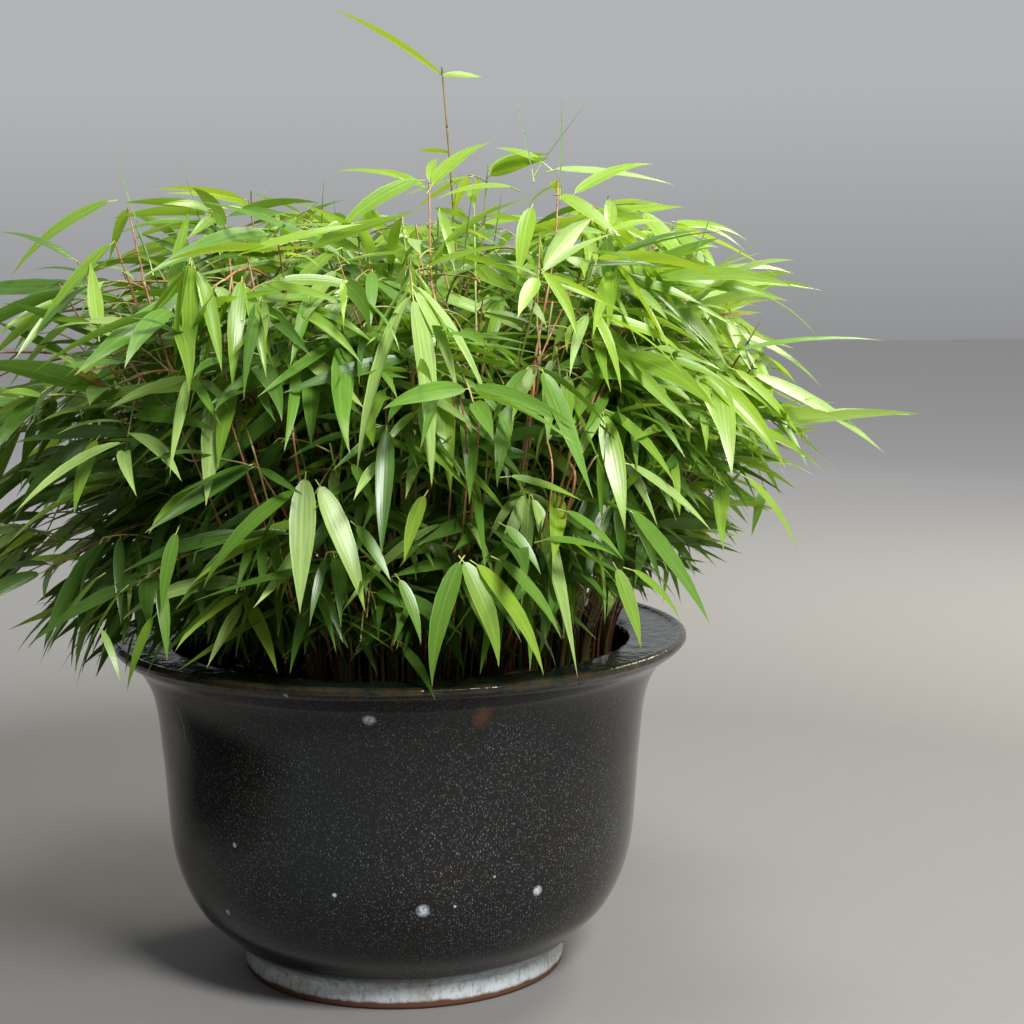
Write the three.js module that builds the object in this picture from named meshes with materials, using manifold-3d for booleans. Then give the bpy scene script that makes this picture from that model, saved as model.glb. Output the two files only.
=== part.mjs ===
import * as THREE from 'three';
import { mergeVertices } from 'three/addons/utils/BufferGeometryUtils.js';
import Module from 'manifold-3d';

// A clumping bamboo in a round glazed pot. Millimetres, +Z up.
// The origin is the centre of the pot's flat underside, and -Y is the front.

const gap = 0.3;                  // clear space between neighbouring solids
const sliver = 0.02;              // edges shorter than this are closed up in a joined mass
const goldenAngle = 2.39996;      // turn from one twig to the next round a stem
const up = new THREE.Vector3(0, 0, 1);

// The pot: a low foot ring, a full belly and a wide flared rim.
const pot = {
  height: 296.5,
  rimRadius: 250,
  mouthRadius: 198,
  footRadius: 141,
  footHeight: 20,
  lowBelly: 184,                  // the wall's outer radius at three heights
  midBelly: 201.5,
  highBelly: 208.5,
  floor: 24,
  wall: 14,
  sides: 40,
  bodySteps: 9,
  insideSteps: 5,
  soilHeight: 270,
  soilDip: 4,
};

// The canes stand in rings. Each rises from its foot, arches over and ends at its tip.
// rise is how far it goes straight up first, and arch is the height that it bends from.
// bare is its leafless share, twig its twigs' length, blade its leaves', and lift turns them up.
const rings = [
  {
    name: 'low', canes: 10, start: 0, foot: 126, rise: 110, arch: 450,
    tip: 226, height: 416, bare: 0.3, nodes: 4, twig: 56, blade: 132, lift: 0.1,
  },
  {
    name: 'side', canes: 7, start: 0.3, foot: 98, rise: 150, arch: 580,
    tip: 302, height: 526, bare: 0.4, nodes: 4, twig: 62, blade: 134, lift: 0,
  },
  {
    name: 'mid', canes: 7, start: 0.4, foot: 64, rise: 180, arch: 640,
    tip: 244, height: 600, bare: 0.38, nodes: 4, twig: 56, blade: 130, lift: 0,
  },
  {
    name: 'high', canes: 4, start: 1.05, foot: 30, rise: 180, arch: 610,
    tip: 112, height: 626, bare: 0.4, nodes: 6, twig: 50, blade: 112, lift: 0.1,
  },
];
const cane = {
  footThick: 5.6,
  tipThick: 3.8,
  endThick: 3,
  sides: 5,
  steps: 4,
  stemSides: 3,
  stemSteps: 5,
  linePoints: 20,                 // steps of the line that spaces are measured from
  wander: 0.16,                   // turn of a cane off its even place in the ring, in radians
  footWander: 0.2,                // turn of its foot off that
  shoulder: 0.45,                 // where it bends over, from its foot to its tip
  reaches: [0.93, 1.07],          // each of these is a share of its ring's own value
  footRadii: [0.8, 1.08],
  arches: [0.97, 1.03],
  heights: [0.96, 1.03],
  cascade: 64,                    // extra reach of the low canes on the left
  cascadeDrop: 0.5,               // how much lower they end, for each millimetre of it
  seed: 7001,                     // the first cane's random numbers, and the step to the next cane's
  seedStep: 613,
};
// One young cane stands clear above the crown, with a few leaves at its tip.
const tallCane = {
  foot: [62, 6],
  tip: [41, 0, 780],
  bow: 7,
  bowAt: 0.66,
  bare: 0.6,
  leaves: [
    { part: 0.98, turn: 3.1, climb: 0.8, length: 110 },
    { part: 0.98, turn: 0.1, climb: 0.1, length: 34 },
    { part: 0.86, turn: 3.5, climb: 0.2, length: 30 },
    { part: 0.78, turn: -0.4, climb: 0.5, length: 38 },
  ],
};

const crownHeart = new THREE.Vector3(0, 0, 360);
const twig = {
  thick: 3,
  endThick: 2.4,
  sides: 3,
  from: 0.1,                      // the first twig's place on its stem, and the last one's
  to: 0.94,
  wander: 0.4,                    // turn of a twig off the golden angle
  rise: 0.5,                      // lean along the stem, and out from the heart of the crown
  outward: 0.4,
  droop: 0.28,
  lengths: [0.75, 1.15],          // shares of its ring's own value
  leaves: 4,
  fewest: 2,
  leafFrom: 0.3,                  // the first leaf's place on its twig, and the last one's
  leafTo: 0.9,
  leafEnd: 0.97,
  stemEnd: [0.7, 0.85, 1],        // the stretch of a stem that bears leaves of its own
};
const leaf = {
  width: 0.26,                    // of its length
  thick: 2.2,
  widest: 0.36,                   // of the way to its tip
  arch: 0.07,
  droop: 0.17,
  sunk: 0.6,
  lengths: [0.86, 1.12],          // shares of its ring's own value
  turns: [0.6, 1],                // how far it stands out to the side
  endTurn: 0.2,
  climbs: [-0.45, 0.15],
  tilt: 0.5,
};
const space = {
  margin: 1.2,
  potClear: 3,
  caneClear: 3.5,
  tipClear: 4,
  lowest: 288,                    // leaves outside the pot hang no lower
  highest: 744,                   // the top of the dome, and its fall for each millimetre outward
  fall: 0.24,
  stations: 7,
  midribStations: [0, 0.33, 0.67, 1],
};
// A leaf that does not fit is turned further outward, and made smaller, at each try.
const leafTries = [
  { turn: 0, size: 1 },
  { turn: 0.5, size: 1 },
  { turn: 1.2, size: 0.9 },
  { turn: 2.5, size: 0.75 },
];

const colours = {
  glaze: { color: 0x1b1d1f, roughness: 0.16, metalness: 0 },
  soil: { color: 0x2a1f18, roughness: 0.95, metalness: 0 },
  cane: { color: 0x6c5a2c, roughness: 0.5, metalness: 0 },
  leaf: { color: 0x6d9b2c, roughness: 0.5, metalness: 0 },
};

const wasm = await Module();
wasm.setup();

// Random numbers from low to high, the same on every run.
function seededRandom(seed) {
  const modulus = 2147483647;
  let state = seed;
  const next = (low, high) => {
    state = (state * 16807) % modulus;
    return low + (high - low) * (state / modulus);
  };
  next(0, 1);
  next(0, 1);
  return next;
}

function makeMesh(name, geometry, finish) {
  const mesh = new THREE.Mesh(geometry, new THREE.MeshStandardMaterial(finish));
  mesh.name = name;
  return mesh;
}

function toSolid(geometry) {
  const bare = geometry.clone();
  bare.deleteAttribute('normal');
  bare.deleteAttribute('uv');
  const merged = mergeVertices(bare, 1e-4);
  return new wasm.Manifold(new wasm.Mesh({
    numProp: 3,
    vertProperties: new Float32Array(merged.attributes.position.array),
    triVerts: new Uint32Array(merged.index.array),
  }));
}

function toGeometry(solid) {
  const mesh = solid.getMesh();
  const geometry = new THREE.BufferGeometry();
  geometry.setAttribute('position', new THREE.BufferAttribute(new Float32Array(mesh.vertProperties), 3));
  geometry.setIndex(new THREE.BufferAttribute(new Uint32Array(mesh.triVerts), 1));
  geometry.computeVertexNormals();
  return geometry;
}

// Joins solids into one body, without hair-thin slivers, and drops any scrap that hangs loose.
function fuse(solids) {
  const joined = solids.reduce((whole, next) => whole.add(next)).simplify(sliver);
  const bodies = joined.decompose();
  return bodies.reduce((best, next) => (next.volume() > best.volume() ? next : best));
}

// A closed tube through rings of corners, thinner towards its end.
// Its two ends are cut square to the headings given for them.
function taperedTube(points, startThick, endThick, sides, startHeading, endHeading) {
  const positions = [];
  const index = [];
  const end = points.length - 1;
  let across = new THREE.Vector3(1, 0, 0);
  points.forEach((point, i) => {
    const before = points[Math.max(i - 1, 0)];
    const after = points[Math.min(i + 1, end)];
    const fixed = (i === 0 && startHeading) || (i === end && endHeading);
    const heading = fixed || after.clone().sub(before).normalize();
    across = across.clone().addScaledVector(heading, -across.dot(heading)).normalize();
    const third = heading.clone().cross(across);
    const radius = THREE.MathUtils.lerp(startThick, endThick, i / end) / 2;
    for (let k = 0; k < sides; k += 1) {
      const angle = (2 * Math.PI * k) / sides;
      const corner = point.clone();
      corner.addScaledVector(across, radius * Math.cos(angle));
      corner.addScaledVector(third, radius * Math.sin(angle));
      positions.push(corner.x, corner.y, corner.z);
    }
  });
  const last = end * sides;
  for (let i = 0; i < end; i += 1) {
    for (let k = 0; k < sides; k += 1) {
      const a = i * sides + k;
      const b = i * sides + ((k + 1) % sides);
      index.push(a, b, b + sides, a, b + sides, a + sides);
    }
  }
  for (let k = 1; k < sides - 1; k += 1) {
    index.push(0, k + 1, k, last, last + k, last + k + 1);
  }
  const geometry = new THREE.BufferGeometry();
  geometry.setAttribute('position', new THREE.Float32BufferAttribute(positions, 3));
  geometry.setIndex(index);
  geometry.computeVertexNormals();
  return geometry;
}

// A leaf's six corners: its root, both edges, back and front at its widest, and its tip.
// The root is sunk past the axis of the twig that it grows from.
function leafCorners(place, heading, tilt, length) {
  const root = place.clone().addScaledVector(heading, -leaf.sunk);
  const side = heading.clone().cross(up).normalize();
  const back = side.clone().cross(heading).normalize();
  side.applyAxisAngle(heading, tilt);
  back.applyAxisAngle(heading, tilt);
  const middle = root.clone().addScaledVector(heading, leaf.widest * length);
  middle.addScaledVector(up, leaf.arch * length);
  const tip = root.clone().addScaledVector(heading, length).addScaledVector(up, -leaf.droop * length);
  const half = (leaf.width * length) / 2;
  return [
    root,
    middle.clone().addScaledVector(side, half),
    middle.clone().addScaledVector(back, leaf.thick / 2),
    middle.clone().addScaledVector(side, -half),
    middle.clone().addScaledVector(back, -leaf.thick / 2),
    tip,
  ];
}

function leafGeometry(corners) {
  const index = [];
  for (let k = 1; k <= 4; k += 1) {
    const next = (k % 4) + 1;
    index.push(0, k, next, 5, next, k);
  }
  const geometry = new THREE.BufferGeometry();
  geometry.setFromPoints(corners);
  geometry.setIndex(index);
  return geometry;
}

// Where a cane runs: up from its foot, over, and out to its tip.
function caneCurve(foot, rise, shoulder, tip) {
  const lift = foot.clone().addScaledVector(up, rise);
  return new THREE.CubicBezierCurve3(foot, lift, shoulder, tip);
}

function ringPoint(radius, angle, height) {
  return new THREE.Vector3(radius * Math.cos(angle), radius * Math.sin(angle), height);
}

function plantCanes() {
  const soil = pot.soilHeight + gap;
  const canes = [];
  rings.forEach((ring) => {
    for (let i = 0; i < ring.canes; i += 1) {
      const random = seededRandom(cane.seed + cane.seedStep * canes.length);
      const angle = ring.start + (2 * Math.PI * i) / ring.canes + random(-cane.wander, cane.wander);
      const reach = ring.tip * random(...cane.reaches);
      const leftward = ring.name === 'low' ? Math.max(0, -Math.cos(angle)) * cane.cascade : 0;
      const footRadius = ring.foot * random(...cane.footRadii);
      const foot = ringPoint(footRadius, angle + random(-cane.footWander, cane.footWander), soil);
      const shoulderRadius = THREE.MathUtils.lerp(ring.foot, ring.tip, cane.shoulder);
      const shoulder = ringPoint(shoulderRadius, angle, ring.arch * random(...cane.arches));
      const height = ring.height * random(...cane.heights) - leftward * cane.cascadeDrop;
      const tip = ringPoint(reach + leftward, angle, height);
      canes.push({
        label: `${ring.name}_${i + 1}`,
        curve: caneCurve(foot, ring.rise, shoulder, tip),
        bare: ring.bare,
        nodes: ring.nodes,
        twig: ring.twig,
        blade: ring.blade,
        lift: ring.lift,
        random,
      });
    }
  });
  const foot = new THREE.Vector3(...tallCane.foot, soil);
  const tip = new THREE.Vector3(...tallCane.tip);
  const bowed = foot.clone().lerp(tip, tallCane.bowAt).add(new THREE.Vector3(tallCane.bow, 0, 0));
  canes.push({
    label: 'tall',
    curve: caneCurve(foot, (tip.z - soil) / 3, bowed, tip),
    bare: tallCane.bare,
  });
  return canes;
}

// The least distance from a point to a line of points.
function distanceTo(line, point) {
  const piece = new THREE.Line3();
  const nearest = new THREE.Vector3();
  let best = Infinity;
  for (let i = 0; i < line.length - 1; i += 1) {
    piece.set(line[i], line[i + 1]);
    piece.closestPointToPoint(point, true, nearest);
    best = Math.min(best, nearest.distanceTo(point));
  }
  return best;
}

function clearOfPot(point) {
  const radius = Math.hypot(point.x, point.y);
  const outside = radius > pot.rimRadius + space.potClear;
  const above = point.z > pot.height + space.potClear;
  const inMouth = radius < pot.mouthRadius - space.potClear && point.z > pot.soilHeight + space.potClear;
  return point.z > (inMouth ? 0 : space.lowest) && (outside || above || inMouth);
}

function underDome(point) {
  return point.z < space.highest - space.fall * Math.hypot(point.x, point.y);
}

// True where every point is in the space of its own cane: nearer to it than to any other.
function inOwnSpace(points, canes, own) {
  return points.every((point) => {
    if (!clearOfPot(point) || !underDome(point)) return false;
    if (distanceTo(own.bareLine, point) < space.caneClear) return false;
    const reach = distanceTo(own.line, point) + space.margin;
    return canes.every((other) => other === own || distanceTo(other.line, point) > reach);
  });
}

// Points all over a leaf, for the test of its space.
function leafStations(corners) {
  const [root, left, , right, , tip] = corners;
  const points = [];
  for (let i = 1; i <= space.stations; i += 1) {
    const part = i / space.stations;
    const inner = part <= leaf.widest;
    const share = inner ? part / leaf.widest : (part - leaf.widest) / (1 - leaf.widest);
    [left, right].forEach((edge) => {
      points.push(inner ? root.clone().lerp(edge, share) : edge.clone().lerp(tip, share));
    });
  }
  return points;
}

// The way out from the heart of the crown.
function outward(point) {
  return point.clone().sub(crownHeart).normalize();
}

// The point and heading a given part of the way along a line of points.
function along(line, part) {
  const place = part * (line.length - 1);
  const i = Math.min(Math.floor(place), line.length - 2);
  return {
    point: line[i].clone().lerp(line[i + 1], place - i),
    heading: line[i + 1].clone().sub(line[i]).normalize(),
  };
}

// A twig bends up and out from its stem, then hangs a little at its end.
function twigLine(start, heading, length) {
  const middle = start.clone().addScaledVector(heading, length * 0.5);
  const end = start.clone().addScaledVector(heading, length).addScaledVector(up, -twig.droop * length);
  return [start, middle, end];
}

// Leaves stand to the left and right of a twig by turns, and one ends it.
function twigLeaves(line, { random, lift, blade }) {
  const onward = line[2].clone().sub(line[0]).normalize();
  const side = onward.clone().cross(up).normalize();
  const leaves = [];
  for (let i = 0; i < twig.leaves; i += 1) {
    const last = i === twig.leaves - 1;
    const turn = last ? random(-leaf.endTurn, leaf.endTurn) : random(...leaf.turns) * (i % 2 ? 1 : -1);
    const place = last ? twig.leafEnd : THREE.MathUtils.lerp(twig.leafFrom, twig.leafTo, i / twig.leaves);
    const heading = onward.clone().addScaledVector(side, turn);
    heading.addScaledVector(up, lift + random(...leaf.climbs));
    leaves.push({
      root: along(line, place).point,
      heading: heading.normalize(),
      tilt: random(-leaf.tilt, leaf.tilt),
      length: blade * random(...leaf.lengths),
    });
  }
  return leaves;
}

function midrib(corners) {
  return [corners[0], corners[1].clone().lerp(corners[3], 0.5), corners[5]];
}

// True where a leaf's outer part runs through a stem, twig or leaf of its mass.
function crosses(corners, lines) {
  const [, middle, tip] = midrib(corners);
  const half = middle.distanceTo(corners[1]);
  return space.midribStations.some((share) => {
    const point = middle.clone().lerp(tip, share);
    const clear = THREE.MathUtils.lerp(half, space.tipClear, share);
    return lines.some((line) => distanceTo(line, point) < clear);
  });
}

// A leaf that would leave its space is skipped if none of its tries fits.
function fitLeaf({ root, heading, tilt, length }, canes, own) {
  for (const { turn, size } of leafTries) {
    const aimed = heading.clone().addScaledVector(outward(root), turn).normalize();
    const corners = leafCorners(root, aimed, tilt, length * size);
    if (inOwnSpace(leafStations(corners), canes, own) && !crosses(corners, own.lines)) {
      own.lines.push(midrib(corners));
      return [leafGeometry(corners)];
    }
  }
  return [];
}

// The twigs turn round the stem, each with its leaves. One left with too few is skipped.
function growTwigs(stem, own, canes) {
  const { random } = own;
  const pieces = [];
  for (let i = 0; i < own.nodes; i += 1) {
    const place = THREE.MathUtils.lerp(twig.from, twig.to, i / (own.nodes - 1));
    const { point, heading } = along(stem, place);
    const across = heading.clone().cross(up).normalize();
    across.applyAxisAngle(heading, goldenAngle * i + random(-twig.wander, twig.wander));
    const onward = across.addScaledVector(heading, twig.rise);
    onward.addScaledVector(outward(point), twig.outward).normalize();
    const line = twigLine(point, onward, own.twig * random(...twig.lengths));
    const ideas = twigLeaves(line, own);
    if (!inOwnSpace(line.slice(1), canes, own)) continue;
    const taken = own.lines.length;
    const leaves = ideas.flatMap((next) => fitLeaf(next, canes, own));
    if (leaves.length < twig.fewest) {
      own.lines.length = taken;
      continue;
    }
    own.lines.push(line);
    pieces.push(taperedTube(line, twig.thick, twig.endThick, twig.sides), ...leaves);
  }
  const end = twig.stemEnd.map((part) => along(stem, part).point);
  return [...pieces, ...twigLeaves(end, own).flatMap((next) => fitLeaf(next, canes, own))];
}

function growTallLeaves(stem) {
  return tallCane.leaves.map(({ part, turn, climb, length }) => {
    const heading = new THREE.Vector3(Math.cos(turn), Math.sin(turn), climb).normalize();
    return leafGeometry(leafCorners(along(stem, part).point, heading, 0, length));
  });
}

// One mass: the upper part of a cane, its twigs and their leaves, all in the cane's own space.
function growMass(own, canes) {
  const points = own.line.slice(own.bareLine.length - 1);
  points[0] = points[0].clone().addScaledVector(own.joint, gap);
  const stem = new THREE.CatmullRomCurve3(points).getPoints(cane.stemSteps);
  const limb = taperedTube(stem, cane.tipThick, cane.endThick, cane.stemSides, own.joint);
  own.lines = [stem];
  const growth = own.label === 'tall' ? growTallLeaves(stem) : growTwigs(stem, own, canes);
  return fuse([limb, ...growth].map(toSolid));
}

// The inside of the pot, from the mouth down to the axis.
function insideProfile() {
  const { mouthRadius, lowBelly, midBelly, highBelly, wall, floor } = pot;
  const curve = new THREE.SplineCurve([
    new THREE.Vector2(mouthRadius, 286),
    new THREE.Vector2(mouthRadius - 1, 262),
    new THREE.Vector2(highBelly - wall, 190),
    new THREE.Vector2(midBelly - wall, 110),
    new THREE.Vector2(lowBelly - wall, 68),
    new THREE.Vector2(140, floor + 10),
    new THREE.Vector2(100, floor),
  ]);
  return [...curve.getPoints(pot.insideSteps), new THREE.Vector2(0, floor)];
}

function potGeometry() {
  const { footRadius, footHeight, lowBelly, midBelly, highBelly, rimRadius, height, mouthRadius } = pot;
  const body = new THREE.SplineCurve([
    new THREE.Vector2(footRadius - 0.5, footHeight),
    new THREE.Vector2(158, 36),
    new THREE.Vector2(lowBelly, 63),
    new THREE.Vector2(midBelly, 110),
    new THREE.Vector2(highBelly, 190),
    new THREE.Vector2(214.5, 242),
    new THREE.Vector2(226.5, 270),
    new THREE.Vector2(244.5, 285),
    new THREE.Vector2(rimRadius, height - 5.5),
  ]);
  const profile = [
    new THREE.Vector2(0, 0),
    new THREE.Vector2(footRadius - 2, 0),
    new THREE.Vector2(footRadius, 8),
    ...body.getPoints(pot.bodySteps),
    new THREE.Vector2(rimRadius - 4, height),
    new THREE.Vector2(rimRadius - 10, height - 2),
    new THREE.Vector2(mouthRadius + 8, height - 3.5),
    ...insideProfile(),
  ];
  return turned(profile);
}

// The compost fills the pot, clear of its wall, and lies a little lower round the edge.
function soilGeometry() {
  const surface = pot.soilHeight - pot.soilDip;
  const lower = insideProfile().filter((point) => point.y < surface).reverse();
  const wall = lower.map((point) => new THREE.Vector2(Math.max(point.x - gap, 0), point.y + gap));
  return turned([
    ...wall,
    new THREE.Vector2(pot.mouthRadius - 2, surface),
    new THREE.Vector2(pot.mouthRadius - 38, pot.soilHeight),
    new THREE.Vector2(0, pot.soilHeight),
  ]);
}

// A profile of radius and height, turned round the upright axis.
function turned(profile) {
  return new THREE.LatheGeometry(profile, pot.sides).rotateX(Math.PI / 2);
}

function build() {
  const group = new THREE.Group();
  group.add(makeMesh('pot', potGeometry(), colours.glaze));
  group.add(makeMesh('compost', soilGeometry(), colours.soil));
  const canes = plantCanes();
  canes.forEach((own) => {
    own.line = own.curve.getPoints(cane.linePoints);
    own.bareLine = own.line.slice(0, Math.round(cane.linePoints * own.bare) + 1);
    own.joint = own.curve.getTangent((own.bareLine.length - 1) / cane.linePoints);
  });
  canes.forEach((own) => {
    const path = new THREE.CatmullRomCurve3(own.bareLine).getPoints(cane.steps);
    const tube = taperedTube(path, cane.footThick, cane.tipThick, cane.sides, up, own.joint);
    group.add(makeMesh(`cane_${own.label}`, tube, colours.cane));
    group.add(makeMesh(`foliage_${own.label}`, toGeometry(growMass(own, canes)), colours.leaf));
  });
  return group;
}

const group = build();
export default group;
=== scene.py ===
# Clumping bamboo in a round glazed pot: the looks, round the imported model.
# Lengths are in millimetres, as in the model's own source, until a mesh is made.
import math

import bpy
import numpy as np
from mathutils import Matrix, Vector


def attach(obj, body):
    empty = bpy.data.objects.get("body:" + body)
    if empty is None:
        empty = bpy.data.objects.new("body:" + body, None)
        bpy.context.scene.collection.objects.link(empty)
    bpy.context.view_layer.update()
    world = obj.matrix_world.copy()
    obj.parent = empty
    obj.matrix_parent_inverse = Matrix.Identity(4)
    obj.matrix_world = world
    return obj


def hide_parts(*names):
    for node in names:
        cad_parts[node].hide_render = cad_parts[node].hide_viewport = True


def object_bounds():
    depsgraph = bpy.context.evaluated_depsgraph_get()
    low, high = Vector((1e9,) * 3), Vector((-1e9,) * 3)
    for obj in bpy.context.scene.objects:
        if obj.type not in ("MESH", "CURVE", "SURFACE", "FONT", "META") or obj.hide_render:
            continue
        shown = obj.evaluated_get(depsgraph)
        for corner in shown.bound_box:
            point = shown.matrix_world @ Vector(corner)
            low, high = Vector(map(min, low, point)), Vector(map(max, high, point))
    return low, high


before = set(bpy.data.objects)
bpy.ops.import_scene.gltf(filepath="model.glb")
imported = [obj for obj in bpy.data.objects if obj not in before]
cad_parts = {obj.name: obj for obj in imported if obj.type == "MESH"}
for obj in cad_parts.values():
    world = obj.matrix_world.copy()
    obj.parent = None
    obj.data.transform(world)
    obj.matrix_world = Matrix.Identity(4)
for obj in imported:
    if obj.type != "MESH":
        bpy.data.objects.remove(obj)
cadBox = [list(corner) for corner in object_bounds()]
mm = 0.001
up = np.array([0.0, 0.0, 1.0])
flatWays = np.array([1, 1, 0])
print("frame loaded:", len(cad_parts), "nodes")


# Shader maths that reads as plain Python: a wire is one socket of a node.
class Wire:
    def __init__(self, paint, socket):
        self.paint = paint
        self.socket = socket

    def __add__(self, other):
        return self.paint.maths("ADD", self, other)

    def __radd__(self, other):
        return self.paint.maths("ADD", other, self)

    def __sub__(self, other):
        return self.paint.maths("SUBTRACT", self, other)

    def __rsub__(self, other):
        return self.paint.maths("SUBTRACT", other, self)

    def __mul__(self, other):
        return self.paint.maths("MULTIPLY", self, other)

    def __rmul__(self, other):
        return self.paint.maths("MULTIPLY", other, self)


# One material and its nodes.
class Paint:
    def __init__(self, name, owner=None):
        self.owner = owner or bpy.data.materials.new(name)
        self.owner.use_nodes = True
        self.tree = self.owner.node_tree
        self.tree.nodes.clear()

    def node(self, kind, settings=None, inputs=(), out=0):
        made = self.tree.nodes.new(kind)
        for key, value in (settings or {}).items():
            if key == "stops":
                self.setStops(made.color_ramp, value)
            else:
                setattr(made, key, value)
        pairs = inputs.items() if isinstance(inputs, dict) else enumerate(inputs)
        for key, value in pairs:
            if isinstance(value, Wire):
                self.tree.links.new(value.socket, made.inputs[key])
            else:
                made.inputs[key].default_value = value
        return Wire(self, made.outputs[out])

    def setStops(self, ramp, stops):
        while len(ramp.elements) < len(stops):
            ramp.elements.new(0.5)
        for element, (place, grey) in zip(ramp.elements, stops):
            element.position = place
            element.color = (grey, grey, grey, 1)

    def maths(self, operation, *values):
        return self.node("ShaderNodeMath", {"operation": operation}, values)

    def measure(self, operation, *vectors):
        return self.node("ShaderNodeVectorMath", {"operation": operation}, vectors, "Value")

    def place(self, out="Object"):
        return self.node("ShaderNodeTexCoord", out=out)

    def axis(self, vector, name):
        return self.node("ShaderNodeSeparateXYZ", None, [vector], name)

    def stretched(self, vector, scale):
        return self.node("ShaderNodeVectorMath", {"operation": "MULTIPLY"}, [vector, scale])

    def noise(self, vector, scale, detail=3.0, rough=0.5):
        sockets = {"Vector": vector, "Scale": scale, "Detail": detail, "Roughness": rough}
        return self.node("ShaderNodeTexNoise", None, sockets)

    def cells(self, vector, scale, out="Distance"):
        return self.node("ShaderNodeTexVoronoi", None, {"Vector": vector, "Scale": scale}, out)

    def ramp(self, value, stops):
        return self.node("ShaderNodeValToRGB", {"stops": stops}, [value])

    def rise(self, value, start, end):
        return self.ramp(value, [(start, 0), (end, 1)])

    def fall(self, value, start, end):
        return self.ramp(value, [(start, 1), (end, 0)])

    def mix(self, mask, first, second):
        return self.node("ShaderNodeMix", {"data_type": "RGBA"}, {0: mask, 6: first, 7: second}, 2)

    def height(self, value, strength, distance, normal=None):
        sockets = {"Strength": strength, "Distance": distance, "Height": value}
        if normal:
            sockets["Normal"] = normal
        return self.node("ShaderNodeBump", None, sockets)

    def gloss(self, sockets):
        return self.node("ShaderNodeBsdfPrincipled", None, sockets)

    def finish(self, shader, kind="ShaderNodeOutputMaterial"):
        result = self.tree.nodes.new(kind)
        self.tree.links.new(shader.socket, result.inputs["Surface"])
        return self.owner


def rgb(red, green, blue):
    return (red, green, blue, 1.0)


def scaled(tint, share, more=0.0):
    return tuple(min(1.0, c * share + more) for c in tint[:3]) + (1.0,)


def addObject(name, data):
    made = bpy.data.objects.new(name, data)
    bpy.context.collection.objects.link(made)
    return made


# A piece from arrays of corners and faces. Corners come in millimetres.
def makePiece(name, points, faces, material, along=None):
    mesh = bpy.data.meshes.new(name)
    sides = faces.shape[1]
    mesh.vertices.add(len(points))
    mesh.vertices.foreach_set("co", (points * mm).astype(np.float32).ravel())
    mesh.loops.add(len(faces) * sides)
    mesh.loops.foreach_set("vertex_index", faces.astype(np.int32).ravel())
    mesh.polygons.add(len(faces))
    mesh.polygons.foreach_set("loop_start", (np.arange(len(faces)) * sides).astype(np.int32))
    mesh.update(calc_edges=True)
    mesh.polygons.foreach_set("use_smooth", np.ones(len(faces), dtype=bool))
    if along is not None:
        layer = mesh.uv_layers.new(name="along")
        layer.data.foreach_set("uv", along[faces.ravel()].astype(np.float32).ravel())
    mesh.materials.append(material)
    piece = addObject(name, mesh)
    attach(piece, "root")
    print("piece", name, len(faces), "faces")
    return piece


# Random numbers from low to high: the same rule, and so the same numbers, as the model's source.
class SeededRandom:
    modulus = 2147483647

    def __init__(self, seed):
        self.state = seed
        self(0, 1)
        self(0, 1)

    def __call__(self, low, high):
        self.state = self.state * 16807 % self.modulus
        return low + (high - low) * self.state / self.modulus


def unit(vector):
    return vector / max(np.linalg.norm(vector), 1e-9)


def between(low, high, share):
    return low + (high - low) * share


def turnAbout(vector, axis, angle):
    turned = vector * math.cos(angle) + np.cross(axis, vector) * math.sin(angle)
    return turned + axis * np.dot(axis, vector) * (1 - math.cos(angle))


def ringPoint(radius, angle, height):
    return np.array([radius * math.cos(angle), radius * math.sin(angle), height])


def splinePoints(controls, steps):
    # a Catmull-Rom curve through the controls, the same number of steps in each span
    padded = [controls[0], *controls, controls[-1]]
    points = []
    for before, start, end, after in zip(padded, padded[1:], padded[2:], padded[3:]):
        before, start, end, after = (np.array(p, float) for p in (before, start, end, after))
        for i in range(steps):
            t = i / steps
            bend = 2 * before - 5 * start + 4 * end - after
            twist = 3 * start - before - 3 * end + after
            points.append(0.5 * (2 * start + (end - before) * t + bend * t ** 2 + twist * t ** 3))
    return points + [np.array(controls[-1], float)]


def bezier(controls, steps):
    a, b, c, d = (np.array(p, float) for p in controls)
    t = np.linspace(0, 1, steps + 1)[:, None]
    return a * (1 - t) ** 3 + 3 * b * t * (1 - t) ** 2 + 3 * c * t ** 2 * (1 - t) + d * t ** 3


def pointOn(line, part):
    place = part * (len(line) - 1)
    i = min(int(place), len(line) - 2)
    return line[i] + (line[i + 1] - line[i]) * (place - i)


def lengthsAlong(line):
    return np.concatenate([[0], np.cumsum(np.linalg.norm(np.diff(line, axis=0), axis=1))])


def ringFaces(rings, turns, first=0):
    # faces between rings of corners that follow each other
    grid = np.arange(rings * turns).reshape(rings, turns) + first
    beside = np.roll(grid, -1, axis=1)
    return np.stack([grid[:-1], beside[:-1], beside[1:], grid[1:]], axis=-1).reshape(-1, 4)


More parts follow.
